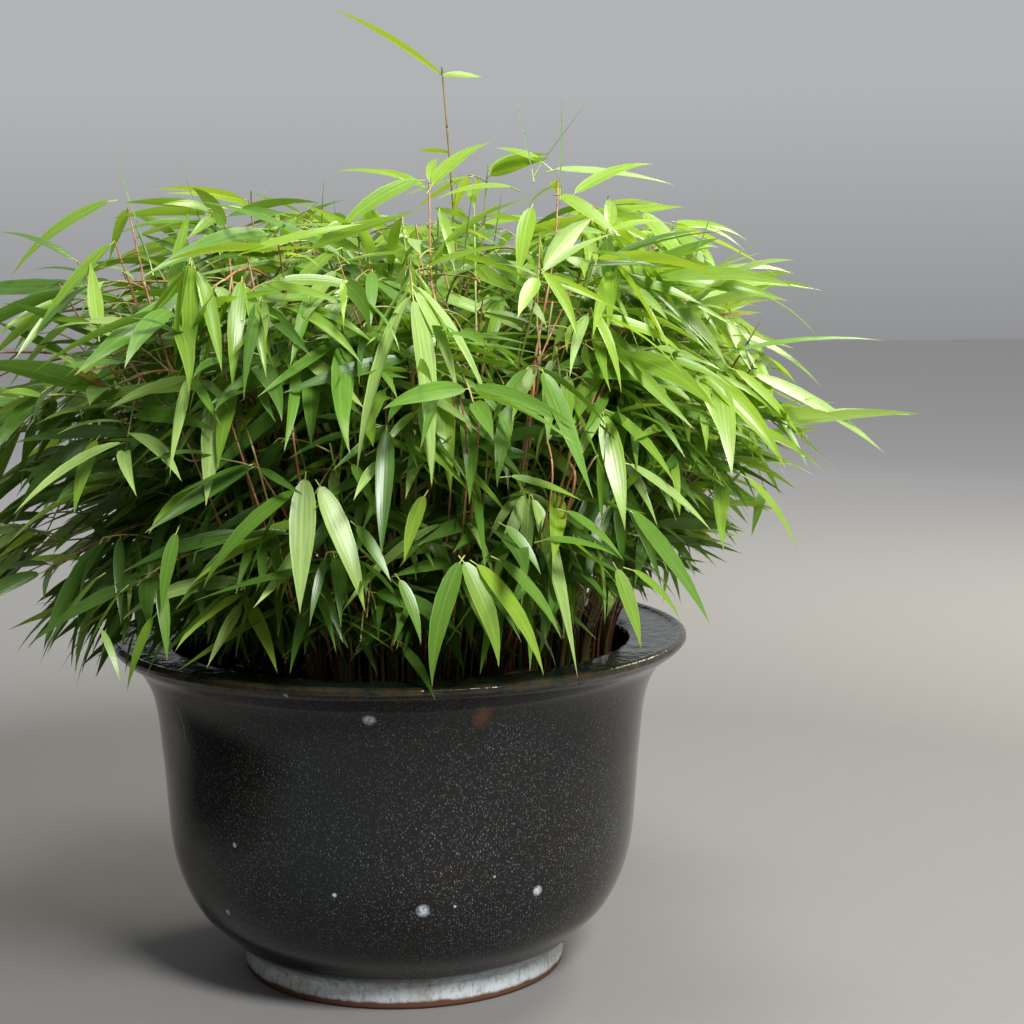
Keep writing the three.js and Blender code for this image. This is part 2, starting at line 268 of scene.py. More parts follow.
# Gathers tubes, and joins them into one mesh.
class TubeBundle:
    def __init__(self, sides):
        self.sides = sides
        self.points, self.faces, self.along = [], [], []
        self.count = 0

    def add(self, line, thick):
        # rings of corners round a line, one thickness for each of its points
        line = np.asarray(line, float)
        heading = np.gradient(line, axis=0)
        heading /= np.linalg.norm(heading, axis=1)[:, None]
        across = np.array([1.0, 0.0, 0.0])
        turns = np.arange(self.sides) * 2 * math.pi / self.sides
        for point, ahead, wide in zip(line, heading, thick):
            across = unit(across - ahead * np.dot(across, ahead))
            third = np.cross(ahead, across)
            ring = across[None] * np.cos(turns)[:, None] + third[None] * np.sin(turns)[:, None]
            self.points.append(point[None] + ring * wide / 2)
        turn = np.arange(self.sides) / self.sides
        along = np.broadcast_arrays(turn[None], lengthsAlong(line)[:, None])
        self.along.append(np.stack(along, axis=-1).reshape(-1, 2))
        self.faces.append(ringFaces(len(line), self.sides, self.count))
        self.count += len(line) * self.sides

    def make(self, name, material):
        gathered = (self.points, self.faces, self.along)
        points, faces, along = (np.concatenate(parts) for parts in gathered)
        return makePiece(name, points, faces, material, along)


# The camera stands where the photograph's stood, for a rim 500 mm across.
cameraView = {
    "back": 1919.3, "height": 661.2, "lookDown": 0.1361, "lookRight": 0.0512, "roll": -0.0061,
    "lens": 78.11, "sensor": 36, "pixels": 1024,
}


def cameraMatrix():
    place = Matrix.Translation((0, -cameraView["back"] * mm, cameraView["height"] * mm))
    turn = Matrix.Rotation(-cameraView["lookRight"], 4, "Z")
    tip = Matrix.Rotation(math.pi / 2 - cameraView["lookDown"], 4, "X")
    roll = Matrix.Rotation(cameraView["roll"], 4, "Z")
    return place @ turn @ tip @ roll


def makeCamera():
    data = bpy.data.cameras.new("camera")
    data.sensor_fit = "HORIZONTAL"
    data.sensor_width = cameraView["sensor"]
    data.lens = cameraView["lens"]
    camera = addObject("camera", data)
    camera.matrix_world = cameraMatrix()
    bpy.context.scene.camera = camera


# Daylight: a strong high window behind on the right, open sky above, and darker surroundings in front.
studio = {
    "transform": "Standard",
    "exposure": -0.1,
    "sky": rgb(0.96, 0.97, 1.0),
    "front": rgb(0.42, 0.44, 0.46),
    "horizon": rgb(0.55, 0.555, 0.565),
    "skyPower": 0.5,
    "floor": rgb(0.22, 0.215, 0.21),
    "farFloor": rgb(0.66, 0.65, 0.645),
    "floorGrain": rgb(0.18, 0.175, 0.17),
    "floorHalf": 9,               # metres, as are the places of the lamps
    "dark": rgb(0.015, 0.015, 0.016),
    # the floor's painted shade, a dark patch out of view, begins at these
    "shadeFrom": (0.44, 0.38),     # out of view on the left of this, and in front of this, the floor is dark
    "lamps": [
        {"name": "backWindow", "place": (1.5, 1.4, 2.0), "size": 1.0, "power": 46, "tint": (1, 0.95, 0.76)},
        {"name": "topPanel", "place": (0.4, -0.2, 2.6), "size": 0.8, "power": 30, "tint": (1, 1, 1)},
        {"name": "frontPanel", "place": (1, -2, 2.3), "size": 0.8, "power": 126, "tint": (1, 0.99, 0.97)},
    ],
    "aim": (0.0, 0.0, 0.42),
}


def makeSky():
    # brighter behind and above than in front
    world = bpy.data.worlds.new("sky")
    bpy.context.scene.world = world
    paint = Paint("sky", world)
    x, y, z = (paint.axis(paint.place("Generated"), name) for name in "XYZ")
    behind = paint.ramp((y + x * 0.6) * 0.5 + 0.5, [(0.2, 0.1), (0.8, 1)])
    above = paint.ramp(z * 0.5 + 0.5, [(0.5, 0), (0.95, 0.8)])
    colour = paint.mix(paint.maths("MAXIMUM", behind, above), studio["front"], studio["sky"])
    colour = paint.mix(paint.fall(z * 5.0 + 0.5, 0.1, 0.75), colour, studio["horizon"])
    # dark low on the left, where the pot's left side mirrors it
    leftward = paint.rise(x * -1.0 - y * 0.25, 0.3, 0.6)
    colour = paint.mix(leftward * paint.fall(z, 0.45, 0.75), colour, studio["dark"])
    light = paint.node("ShaderNodeBackground", None, {"Color": colour, "Strength": studio["skyPower"]})
    paint.finish(light, "ShaderNodeOutputWorld")


def makeLamps():
    for lamp in studio["lamps"]:
        data = bpy.data.lights.new(lamp["name"], "AREA")
        data.shape = "DISK"
        data.size = lamp["size"]
        data.energy = lamp["power"]
        data.color = lamp["tint"]
        light = addObject(lamp["name"], data)
        light.location = lamp["place"]
        aim = Vector(studio["aim"]) - light.location
        light.rotation_euler = aim.to_track_quat("-Z", "Y").to_euler()


def makeFloor():
    paint = Paint("paleFloor")
    place = paint.place()
    grain = paint.noise(place, 40.0, 4.0)
    shade = paint.mix(grain * 0.25, studio["floor"], studio["floorGrain"])
    # paler far off, so that it meets the horizon without a line
    away = paint.measure("LENGTH", place)
    shade = paint.mix(paint.rise(away * 0.1, 0.1, 0.36), shade, studio["farFloor"])
    # painted shade: a dark patch out of view on the left, which keeps the pot's left side dark where it
    # mirrors the floor
    left, near = studio["shadeFrom"]
    leftward = paint.rise((paint.axis(place, "X") + left) * -4.5, 0, 0.8)
    forward = paint.rise((near - paint.axis(place, "Y")) * 4.0, 0, 1)
    shade = paint.mix(leftward * forward, shade, studio["dark"])
    bump = paint.height(grain, 0.2, 0.002)
    mesh = bpy.data.meshes.new("floor")
    half = studio["floorHalf"]
    corners = [(-half, -half, 0), (half, -half, 0), (half, half, 0), (-half, half, 0)]
    mesh.from_pydata(corners, [], [(0, 1, 2, 3)])
    surface = paint.gloss({"Base Color": shade, "Roughness": 0.85, "Normal": bump})
    mesh.materials.append(paint.finish(surface))
    panel = addObject("floor", mesh)


# The pot, thrown in stoneware: the model's profile, with its small roundings.
pot = {
    "height": 296.5, "rimRadius": 250, "mouthRadius": 198,
    "footRadius": 141, "footHeight": 20, "floor": 24, "wall": 14, "soilHeight": 270,
    "turns": 420,
    "wobble": 0.35,
    "body": rgb(0.0042, 0.004, 0.0038),
    # a painted reflection: a broad faint bluish reflection on the wall's front left, and where it centres
    "blueReflection": rgb(0.008, 0.013, 0.015),
    "blueReflectionAt": {"turn": -21, "height": 190},
    "brownCloud": rgb(0.013, 0.0085, 0.0045),
    # how fine specks are, how wide, the share left out, their strength and tint
    "specks": [
        (760.0, 0.34, 0.35, 0.3, rgb(0.3, 0.31, 0.3)), (470.0, 0.24, 0.6, 0.65, rgb(0.3, 0.31, 0.3)),
        (560.0, 0.3, 0.6, 0.6, rgb(0.1, 0.16, 0.2)), (240.0, 0.13, 0.84, 0.8, rgb(0.3, 0.11, 0.03)),
    ],
    # painted light: a brown highlight along the lip's outer edge, and a greener reflection on the rim
    "lipHighlight": rgb(0.07, 0.04, 0.016),
    "rimGreenReflection": rgb(0.015, 0.026, 0.017),
    "footGlaze": rgb(0.62, 0.68, 0.7),
    "footStreak": rgb(0.13, 0.07, 0.04),
    "footStain": rgb(0.3, 0.25, 0.16),
    "bareClay": rgb(0.14, 0.055, 0.03),
    "kilnMark": rgb(0.62, 0.68, 0.76),
    "scratch": {"turn": -57.4, "heights": (0.223, 0.259), "tint": rgb(0.3, 0.33, 0.34)},
    "rustPatch": {"turn": 16.5, "height": 266, "size": 11, "tint": rgb(0.16, 0.06, 0.015)},
}
# Kiln marks: turn round the pot from the front in degrees, height and radius.
kilnMarks = [
    (-6.5, 266, 6.2), (4.3, 104, 6.4), (32.8, 109, 5.2), (-16, 117, 2.6), (-49, 83, 3.4), (-42, 148, 2.4),
    (11.7, 106, 1.6), (-21, 289, 2.2), (21, 128, 1.6),
    (120, 96, 4.4), (168, 74, 4.8), (-128, 90, 4.2), (-160, 258, 4.0), (88, 240, 2.6),
]


def bodyCurve():
    return splinePoints([
        (pot["footRadius"] - 0.5, pot["footHeight"]), (158, 36), (184, 63), (201.5, 110), (208.5, 190),
        (214.5, 242), (226.5, 270), (244.5, 285), (pot["rimRadius"], pot["height"] - 5.5),
    ], 10)


def potProfile():
    foot, rim, top = pot["footRadius"], pot["rimRadius"], pot["height"]
    mouth, wall, floor = pot["mouthRadius"], pot["wall"], pot["floor"]
    outside = [(0, 0), (foot - 3, 0), (foot - 0.8, 0.8), (foot, 3)]
    outside += splinePoints([(foot, 3), (foot + 0.6, 9), (foot - 0.4, 15), (foot - 0.5, 20)], 4)[1:-1]
    outside += bodyCurve()
    lip = [
        (rim, top - 5.5), (rim - 0.6, top - 2), (rim - 4, top), (rim - 7.5, top - 0.6),
        (rim - 11, top - 2.4), (rim - 20, top - 2.2), (mouth + 16, top - 2.4), (mouth + 5, top - 4),
        (mouth + 0.5, top - 8), (mouth, 284), (mouth - 1, 262),
    ]
    inside = [(208.5 - wall, 190), (201.5 - wall, 110), (184 - wall, 68), (140, floor + 10), (100, floor)]
    return outside[:-1] + splinePoints(lip, 5) + inside + [(0, floor)]


def turnedPoints(profile, turns, wobble):
    # corners of a turned profile, a little out of round, as thrown clay is
    profile = np.array([tuple(point) for point in profile], float)
    angles = np.arange(turns) * 2 * math.pi / turns
    sway = wobble * (np.sin(2 * angles + 0.6) + 0.5 * np.sin(3 * angles + 2.0))
    share = np.clip(profile[:, 0] / pot["rimRadius"], 0, 1)
    radius = np.maximum(profile[:, 0][:, None] + sway[None] * share[:, None] - wobble * share[:, None], 0)
    heights = np.repeat(profile[:, 1][:, None], turns, axis=1)
    return np.stack([radius * np.cos(angles)[None], radius * np.sin(angles)[None], heights], axis=-1)


def markPlace(turn, height):
    # a point on the pot's wall, straight ahead at turn 0
    radii, heights = np.array(bodyCurve()).T
    return ringPoint(float(np.interp(height, heights, radii)), math.radians(turn) - math.pi / 2, height)


def dentMarks(points):
    # each kiln mark is a shallow pit with a raised ring
    for turn, height, size in kilnMarks:
        gap = np.linalg.norm(points - markPlace(turn, height), axis=-1) / size
        depth = -1.1 * np.exp(-(gap * 1.6) ** 2) + 0.35 * np.exp(-((gap - 1.1) * 3) ** 2)
        out = points * flatWays
        out = out / np.maximum(np.linalg.norm(out, axis=-1, keepdims=True), 1e-6)
        points = points + out * np.minimum(depth, 0.3)[..., None] * (size / 5)
    return points


def glazeMaterial():
    paint = Paint("darkGlaze")
    place = paint.place()
    height = paint.axis(place, "Z")

    def squashed(share):
        return paint.stretched(place, (1.0, 1.0, share))

    def fromMark(turn, markHeight, share=1.0):
        centre = markPlace(turn, markHeight) * mm * np.array([1, 1, share])
        return paint.measure("DISTANCE", squashed(share), tuple(centre))

    cloud = paint.noise(place, 5.5, 4.0, 0.6)
    # painted reflection: a broad faint bluish reflection on the front left, mottled by the cloud
    fromBlueReflection = fromMark(pot["blueReflectionAt"]["turn"], pot["blueReflectionAt"]["height"], 0.5)
    blueReflectionMask = paint.ramp((fromBlueReflection + (cloud - 0.5) * 0.12) * 10.0, [(0.1, 1), (0.75, 0.15)])
    colour = paint.mix(paint.ramp(cloud, [(0.34, 0.3), (0.6, 1)]) * blueReflectionMask, pot["body"], pot["blueReflection"])
    browner = paint.rise(paint.noise(squashed(0.45), 9.0), 0.52, 0.74)
    colour = paint.mix(browner * 0.7, colour, pot["brownCloud"])
    # specks run a little down the wall, as the glaze did
    drawn = squashed(0.55)
    patch = paint.ramp(cloud, [(0.34, 0.35), (0.6, 1)])
    for scale, edge, keep, weight, tint in pot["specks"]:
        near = paint.fall(paint.cells(drawn, scale), edge * 0.55, edge)
        chosen = paint.rise(paint.axis(paint.cells(drawn, scale, "Color"), "X"), keep, keep + 0.04)
        colour = paint.mix(near * chosen * patch * weight, colour, tint)
    # painted reflection and highlight: the rim is greener, a painted reflection, and a brown painted
    # highlight runs in streaks along the lip's outer edge
    wander = (paint.noise(place, 60.0, 4.0) - 0.5) * 0.006
    rim = paint.rise((height + wander - 0.288) * 120.0, 0, 0.35)
    colour = paint.mix(rim * 0.75, colour, pot["rimGreenReflection"])
    radius = paint.measure("LENGTH", squashed(0.0))
    fromLip = (radius + wander * 0.5 - (pot["rimRadius"] - 2.5) * mm) * 130.0 + 0.5
    lipHighlightMask = paint.ramp(fromLip, [(0.12, 0), (0.5, 1), (0.66, 1), (0.95, 0.2)])
    streaks = paint.ramp(paint.noise(squashed(0.25), 90.0, 5.0, 0.7), [(0.38, 0.1), (0.62, 1)])
    colour = paint.mix(lipHighlightMask * streaks * 0.85, colour, pot["lipHighlight"])
    # the foot: pale pooled glaze with brown streaks, over bare clay at the floor
    runs = (paint.noise(squashed(0.12), 70.0, 5.0, 0.65) - 0.5) * 0.012
    pooled = paint.fall((height + runs) * 20.0, 0.36, 0.56)
    fleck = paint.noise(squashed(0.5), 260.0, 4.0, 0.7)
    pale = paint.mix(paint.rise(fleck, 0.5, 0.68) * 0.6, pot["footGlaze"], pot["footStreak"])
    stain = paint.rise(paint.noise(squashed(0.4), 28.0, 4.0, 0.6), 0.5, 0.72)
    pale = paint.mix(stain * 0.6, pale, pot["footStain"])
    colour = paint.mix(pooled, colour, pale)
    lip = (paint.noise(place, 45.0, 4.0, 0.6) - 0.5) * 0.007
    clay = paint.fall((height + lip) * 100.0, 0.55, 0.8)
    colour = paint.mix(clay, colour, pot["bareClay"])
    # kiln marks: white rings with a brown heart
    marks = 0.0
    hearts = 0.0
    for turn, markHeight, size in kilnMarks:
        ragged = (fromMark(turn, markHeight) + wander * 0.25) * (1.0 / (size * mm))
        marks = paint.fall(ragged, 0.35, 1.15) + marks
        hearts = paint.fall(ragged, 0.16, 0.3) + hearts
    torn = paint.ramp(paint.noise(place, 420.0), [(0.3, 0.15), (0.52, 1)])
    colour = paint.mix(marks * torn, colour, pot["kilnMark"])
    colour = paint.mix(hearts, colour, pot["bareClay"])
    # a scratch down the left, and a rusty patch under the rim
    scratch = pot["scratch"]
    turn = math.radians(scratch["turn"])
    beside = paint.measure("DOT_PRODUCT", place, (math.cos(turn), math.sin(turn), 0.0))
    line = paint.fall(paint.maths("ABSOLUTE", beside + wander * 0.7) * 1000.0, 0.3, 0.9)
    bottom, top = scratch["heights"]
    upward = (height - bottom) * (1.0 / (top - bottom))
    inHeight = paint.ramp(upward, [(0.0, 0), (0.15, 1), (0.85, 1), (1.0, 0)])
    colour = paint.mix(line * inHeight * 0.7, colour, scratch["tint"])
    patch = pot["rustPatch"]
    away = fromMark(patch["turn"], patch["height"], 0.6)
    rusty = paint.fall((away + wander) * (1.0 / (patch["size"] * mm)), 0.15, 0.9)
    colour = paint.mix(rusty * 0.75, colour, patch["tint"])
    rough = clay * 0.6 + marks * 0.2 + (cloud * 0.07 + 0.09)
    throwing = paint.noise(paint.stretched(place, (0.2, 0.2, 1.0)), 38.0, 2.0)
    pits = paint.rise(paint.cells(place, 150.0), 0.04, 0.12)
    relief = paint.noise(place, 55.0) * (0.5 + rim * 1.2) + throwing * 0.5 + pits * 0.12 + fleck * clay * 0.5
    bump = paint.height(relief, 0.22, 0.0015)
    bump = paint.height(paint.noise(place, 70.0, 3.0, 0.55) * rim, 0.45, 0.003, bump)
    surface = paint.gloss({"Base Color": colour, "Roughness": rough, "Normal": bump, "IOR": 1.48})
    return paint.finish(surface)


def makePot():
    points = dentMarks(turnedPoints(potProfile(), pot["turns"], pot["wobble"]))
    faces = ringFaces(len(points), pot["turns"])
    piece = makePiece("glazedPot", points.reshape(-1, 3), faces, glazeMaterial())
    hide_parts("pot")


# Compost: a crumbly surface, with crumbs and dry litter lying on it.
compost = {
    "rings": 70,
    "turns": 260,
    "crumbs": 2600,
    "crumbSizes": (0.8, 3.6),
    "crumbShapes": (0.6, 1.3),
    "litter": 130,
    "litterLengths": (18, 52),
    "twigBits": 40,
    "dark": rgb(0.016, 0.01, 0.007),
    "brown": rgb(0.05, 0.03, 0.018),
    "fibre": rgb(0.12, 0.075, 0.04),
    "seed": 5,
    "litterSeed": 88012,
}


def compostMaterial():
    paint = Paint("compostCrumb")
    place = paint.place()
    lumps = paint.noise(place, 160.0, 5.0, 0.7)
    fibres = paint.rise(paint.noise(paint.stretched(place, (1.0, 0.2, 1.0)), 300.0, 4.0), 0.6, 0.72)
    colour = paint.mix(paint.rise(lumps, 0.35, 0.7), compost["dark"], compost["brown"])
    colour = paint.mix(fibres * 0.6, colour, compost["fibre"])
    bump = paint.height(lumps, 0.7, 0.003)
    return paint.finish(paint.gloss({"Base Color": colour, "Roughness": 0.95, "Normal": bump}))


def soilLevel(radius):
    # flat in the middle, lower at the wall
    return pot["soilHeight"] - 4 * np.clip((radius - 160) / 36, 0, 1)


def makeCompost():
    chance = np.random.default_rng(compost["seed"])
    material = compostMaterial()
    radii = np.linspace(0.5, pot["mouthRadius"] - 2.2, compost["rings"])
    angles = np.arange(compost["turns"]) * 2 * math.pi / compost["turns"]
    x = radii[:, None] * np.cos(angles)[None]
    y = radii[:, None] * np.sin(angles)[None]
    lumps = np.sin(x * 0.23 + 1) * np.sin(y * 0.27) + 0.6 * np.sin(x * 0.61) * np.sin(y * 0.53 + 2)
    z = soilLevel(radii)[:, None] - 1.5 + lumps * 0.8 + chance.normal(0, 0.45, x.shape)
    points = np.stack([x, y, z], axis=-1).reshape(-1, 3)
    faces = ringFaces(compost["rings"], compost["turns"])[:, [0, 3, 2, 1]]      # turned over, to face up
    bed = makePiece("compostBed", points, faces, material)
    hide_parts("compost")
    # crumbs: small eight-sided lumps, squashed and stretched at random
    corners = np.array([[1, 0, 0], [-1, 0, 0], [0, 1, 0], [0, -1, 0], [0, 0, 1], [0, 0, -1]], float)
    sides = [[0, 2, 4], [2, 1, 4], [1, 3, 4], [3, 0, 4], [2, 0, 5], [1, 2, 5], [3, 1, 5], [0, 3, 5]]
    sides = np.array(sides)
    count = compost["crumbs"]
    radius = (pot["mouthRadius"] - 7) * np.sqrt(chance.random(count))
    angle = chance.random(count) * 2 * math.pi
    size = chance.uniform(*compost["crumbSizes"], count)
    stretch = chance.uniform(*compost["crumbShapes"], (count, 6, 3))
    lying = soilLevel(radius) + 0.2 * size
    spots = np.stack([radius * np.cos(angle), radius * np.sin(angle), lying], axis=-1)
    lumps = spots[:, None] + corners[None] * stretch * size[:, None, None]
    faces = (sides[None] + 6 * np.arange(count)[:, None, None]).reshape(-1, 3)
    crumbs = makePiece("compostCrumbs", lumps.reshape(-1, 3), faces, material)


# The crown's rings of canes, the same as in the model's source.
rings = [
    {"name": "low", "canes": 10, "start": 0, "foot": 126, "rise": 110, "arch": 450, "tip": 226,
     "height": 416, "bare": 0.3, "nodes": 5, "twig": 56},
    {"name": "side", "canes": 7, "start": 0.3, "foot": 98, "rise": 150, "arch": 580, "tip": 302,
     "height": 526, "bare": 0.4, "nodes": 6, "twig": 62},
    {"name": "mid", "canes": 7, "start": 0.4, "foot": 64, "rise": 180, "arch": 640, "tip": 244,
     "height": 600, "bare": 0.38, "nodes": 6, "twig": 56},
    {"name": "high", "canes": 4, "start": 1.05, "foot": 30, "rise": 180, "arch": 610, "tip": 112,
     "height": 626, "bare": 0.4, "nodes": 6, "twig": 50},
]
cane = {
    "footThick": 3.3,
    "tipThick": 2.2,
    "wander": 0.16,
    "footWander": 0.2,
    "shoulder": 0.45,
    "reaches": (0.93, 1.07),
    "footRadii": (0.8, 1.08),
    "arches": (0.97, 1.03),
    "heights": (0.96, 1.03),
    "cascade": 64,
    "cascadeDrop": 0.5,
    "seed": 7001,
    "seedStep": 613,
    "redShare": 0.55,             # the others are olive
    "internode": 46,
    "swelling": 1.35,             # how much thicker a node is, and how far that goes along the cane
    "swellingHalf": 2.2,
    "nodePoints": (-23, -11, -3, -1, 1, 3),
}
# Finer canes beside each of the model's own: how many, and how far they differ from it.
sister = {
    "count": 5,
    "swing": 0.42,
    "footSwing": 1.4,
    "shrink": (0.6, 1.06),
    "footSpread": (0.3, 1.05),
    "heights": (0.86, 1.05),
    "rises": (0.8, 1.1),
    "thick": (0.55, 0.95),
    "greenShare": 0.3,
    "lean": 62,
    "outer": 0.95,                # one that goes as far as this reaches the outline
    "seed": 90001,
    "seedStep": 811,
}
tallCane = {
    "foot": (62, 6),
    "tip": (41, 0, 780),
    "bow": 7,
    "bowAt": 0.66,
    "thick": 3.2,
    "tipThick": 1.3,
    "leaves": [
        {"part": 0.985, "turn": 3.1, "climb": 0.8, "length": 110, "wide": 8},
        {"part": 0.985, "turn": 0.1, "climb": 0.1, "length": 34, "wide": 9},
        {"part": 0.86, "turn": 3.5, "climb": 0.2, "length": 30, "wide": 6},
        {"part": 0.78, "turn": -0.4, "climb": 0.5, "length": 38, "wide": 3},
    ],
}
crownHeart = np.array([0.0, 0.0, 360.0])
goldenAngle = 2.39996
soilTop = pot["soilHeight"] + 0.3


def plantCanes():
    # the model's own canes, from the same random numbers
    canes = []
    for ring in rings:
        for i in range(ring["canes"]):
            random = SeededRandom(cane["seed"] + cane["seedStep"] * len(canes))
            angle = ring["start"] + 2 * math.pi * i / ring["canes"] + random(-cane["wander"], cane["wander"])
            reach = ring["tip"] * random(*cane["reaches"])
            leftward = max(0, -math.cos(angle)) * cane["cascade"] if ring["name"] == "low" else 0
            footRadius = ring["foot"] * random(*cane["footRadii"])
            foot = ringPoint(footRadius, angle + random(-cane["footWander"], cane["footWander"]), soilTop)
            shoulderRadius = ring["foot"] + (ring["tip"] - ring["foot"]) * cane["shoulder"]
            shoulder = ringPoint(shoulderRadius, angle, ring["arch"] * random(*cane["arches"]))
            height = ring["height"] * random(*cane["heights"]) - leftward * cane["cascadeDrop"]
            tip = ringPoint(reach + leftward, angle, height)
            canes.append({
                "ring": ring, "random": random, "main": True, "outer": True,
                "controls": [foot, foot + up * ring["rise"], shoulder, tip],
            })
    return canes + [finer for place, own in enumerate(canes) for finer in sistersOf(own, place)]


def sistersOf(own, place):
    # finer canes round one of the model's, most of them shorter
    random = SeededRandom(sister["seed"] + sister["seedStep"] * place)
    foot, _, shoulder, tip = own["controls"]
    finer = []
    for _ in range(sister["count"]):
        swing = random(-sister["swing"], sister["swing"])
        shrink = random(*sister["shrink"])
        spot = turnAbout(foot, up, swing * sister["footSwing"]) * random(*sister["footSpread"])
        spot[2] = soilTop
        over = turnAbout(shoulder, up, swing) * np.array([shrink, shrink, random(*sister["heights"])])
        end = turnAbout(tip, up, swing) * np.array([shrink, shrink, random(*sister["heights"])])
        rise = own["ring"]["rise"] * random(*sister["rises"])
        lean = ringPoint(random(0, sister["lean"]), random(0, 2 * math.pi), rise)
        finer.append({
            "ring": own["ring"], "random": random, "main": False, "outer": shrink > sister["outer"],
            "controls": [spot, spot + lean, over, end],
        })
    return finer


def caneThickness(line, thick, endThick):
    # thinner towards the tip, with a swelling at each node
    lengths = lengthsAlong(line)
    plain = thick + (endThick - thick) * (lengths / lengths[-1])
    fromNode = np.abs((lengths / cane["internode"] + 0.5) % 1 - 0.5) * cane["internode"]
    return plain * (1 + (cane["swelling"] - 1) * np.exp(-(fromNode / cane["swellingHalf"]) ** 2))


def nodedLine(controls):
    # a cane's line with close points at each node, so that its swelling shows
    rough = bezier(controls, 80)
    lengths = lengthsAlong(rough)
    count = int(lengths[-1] / cane["internode"])
    places = [i * cane["internode"] + gap for i in range(1, count + 1) for gap in cane["nodePoints"]]
    places = np.unique(np.clip([0.0, *places, lengths[-1]], 0, lengths[-1]))
    return np.stack([np.interp(places, lengths, rough[:, k]) for k in range(3)], axis=-1)


# Leaves: a long narrow blade with a round base and a fine tip, folded a little along its rib.
leaf = {
    "lengths": (60, 116),
    "large": 1.1,                 # some leaves are longer than the rest by this
    "largeShare": 0.16,
    "widths": (0.105, 0.175),     # shares of its length
    "petiole": 4.5,
    "petioleThick": (1.3, 0.9),
    "turns": (1.5, 0.45),         # how far it stands out to the side, from a fan's first leaf to its last
    "turnSpread": (0.75, 1.25),
    "endTurn": 0.25,
    "from": 0.5,                  # where on its twig a fan begins
    "footFrom": 570,              # the foot of the crown begins under this height, and is full this far down
    "footDeep": 230,
    "climbTop": (-0.75, 0.75),    # how a fan points at the top of the crown, and at its foot
    "climbFoot": (-1.05, 0.05),
    "hanging": 0.2,               # share of the fans that hang steeply, wherever they grow
    "steeper": (0.5, 1.5),
    "ownClimb": 0.28,             # how far a leaf differs from its fan
    "droopTop": (0.05, 0.6),
    "droopFoot": (0.05, 0.7),
    "droopSpread": (0.7, 1.3),
    "firstSize": 0.72,            # a fan's first leaf is the smallest
    "rolls": (-1.0, 1.0),
    "twists": (-0.5, 0.5),
    "sways": (-0.4, 0.4),
    "folds": (0.12, 0.7),
    "reachingLengths": range(144, 70, -6),
    "ownTint": 0.8,               # share of the leaves that have their fan's tint
    "dryShare": 0.008,
    "dry": 0.55,                  # the size of a dry leaf
}
bladeStations = np.array([0, 0.02, 0.07, 0.17, 0.32, 0.5, 0.67, 0.82, 0.93, 1])
leafSets = ["bright", "fresh", "mid", "deep", "pale"]
# How a fan's tint is chosen, partly at random and partly as painted light: brighter up and to the right,
# where the light falls, deeper inside and low on the left, in the shade.
tintAndShade = {
    "upward": 0.14, "upFrom": 480, "upPer": 220,
    "rightward": 0.36, "right": 0.5, "rightPer": 350,
    "outward": 2.6, "outFrom": 0.82,
    "chance": 0.42,
    "paleShare": 0.09,
    "steps": [(0.5, "bright"), (0.16, "fresh"), (-0.22, "mid")],
}
# Where leaves may be: the limits of the model's masses, drawn in at the crown's foot as in the photograph.
space = {
    "heart": 330,                 # the outline: how far it goes each way from a point at this height
    "left": 474,
    "right": 446,
    "front": 428,
    "back": 456,
    "up": 352,
    "rise": 46,
    "riseAt": (60, 0),
    "riseWide": 70,
    "power": 3.0,
    "ragged": 0.32,               # a fan stops short of the outline by up to this share
    "over": 1.02,                 # a raised one may go over it by this
    "lowest": 288,
    "lowestLeft": 268,
    "raisedFront": 16,
    "raisedRight": 50,
    "slope": 0.85,                # the rise of the lower edge, outward from the rim
    "slopeLeft": 0.22,
    "frontFan": (20, 135),        # leaves hang over the rim only between these, in x
    "hangFrom": 168,              # nearer the middle than this there is no lower edge
    "edge": 262,
    "reach": 4,
    "gap": 2,                     # how far leaves keep from the pot
}


class LeafHeap:
    def __init__(self):
        self.rows = {name: [] for name in [*leafSets, "spear", "dry"]}

    def add(self, name, root, heading, shape):
        # shape: roll, length, width, droop, twist, sway, fold
        yaw = math.atan2(heading[1], heading[0])
        self.rows[name].append((*root, yaw, climbOf(heading), *shape))


heap = LeafHeap()


def climbOf(heading):
    return math.asin(max(-1.0, min(1.0, heading[2])))


def bladeWidth(t):
    # 1 at its widest, a third of the way along
    return t ** 0.55 * (1 - t) ** 1.22 / 0.3352


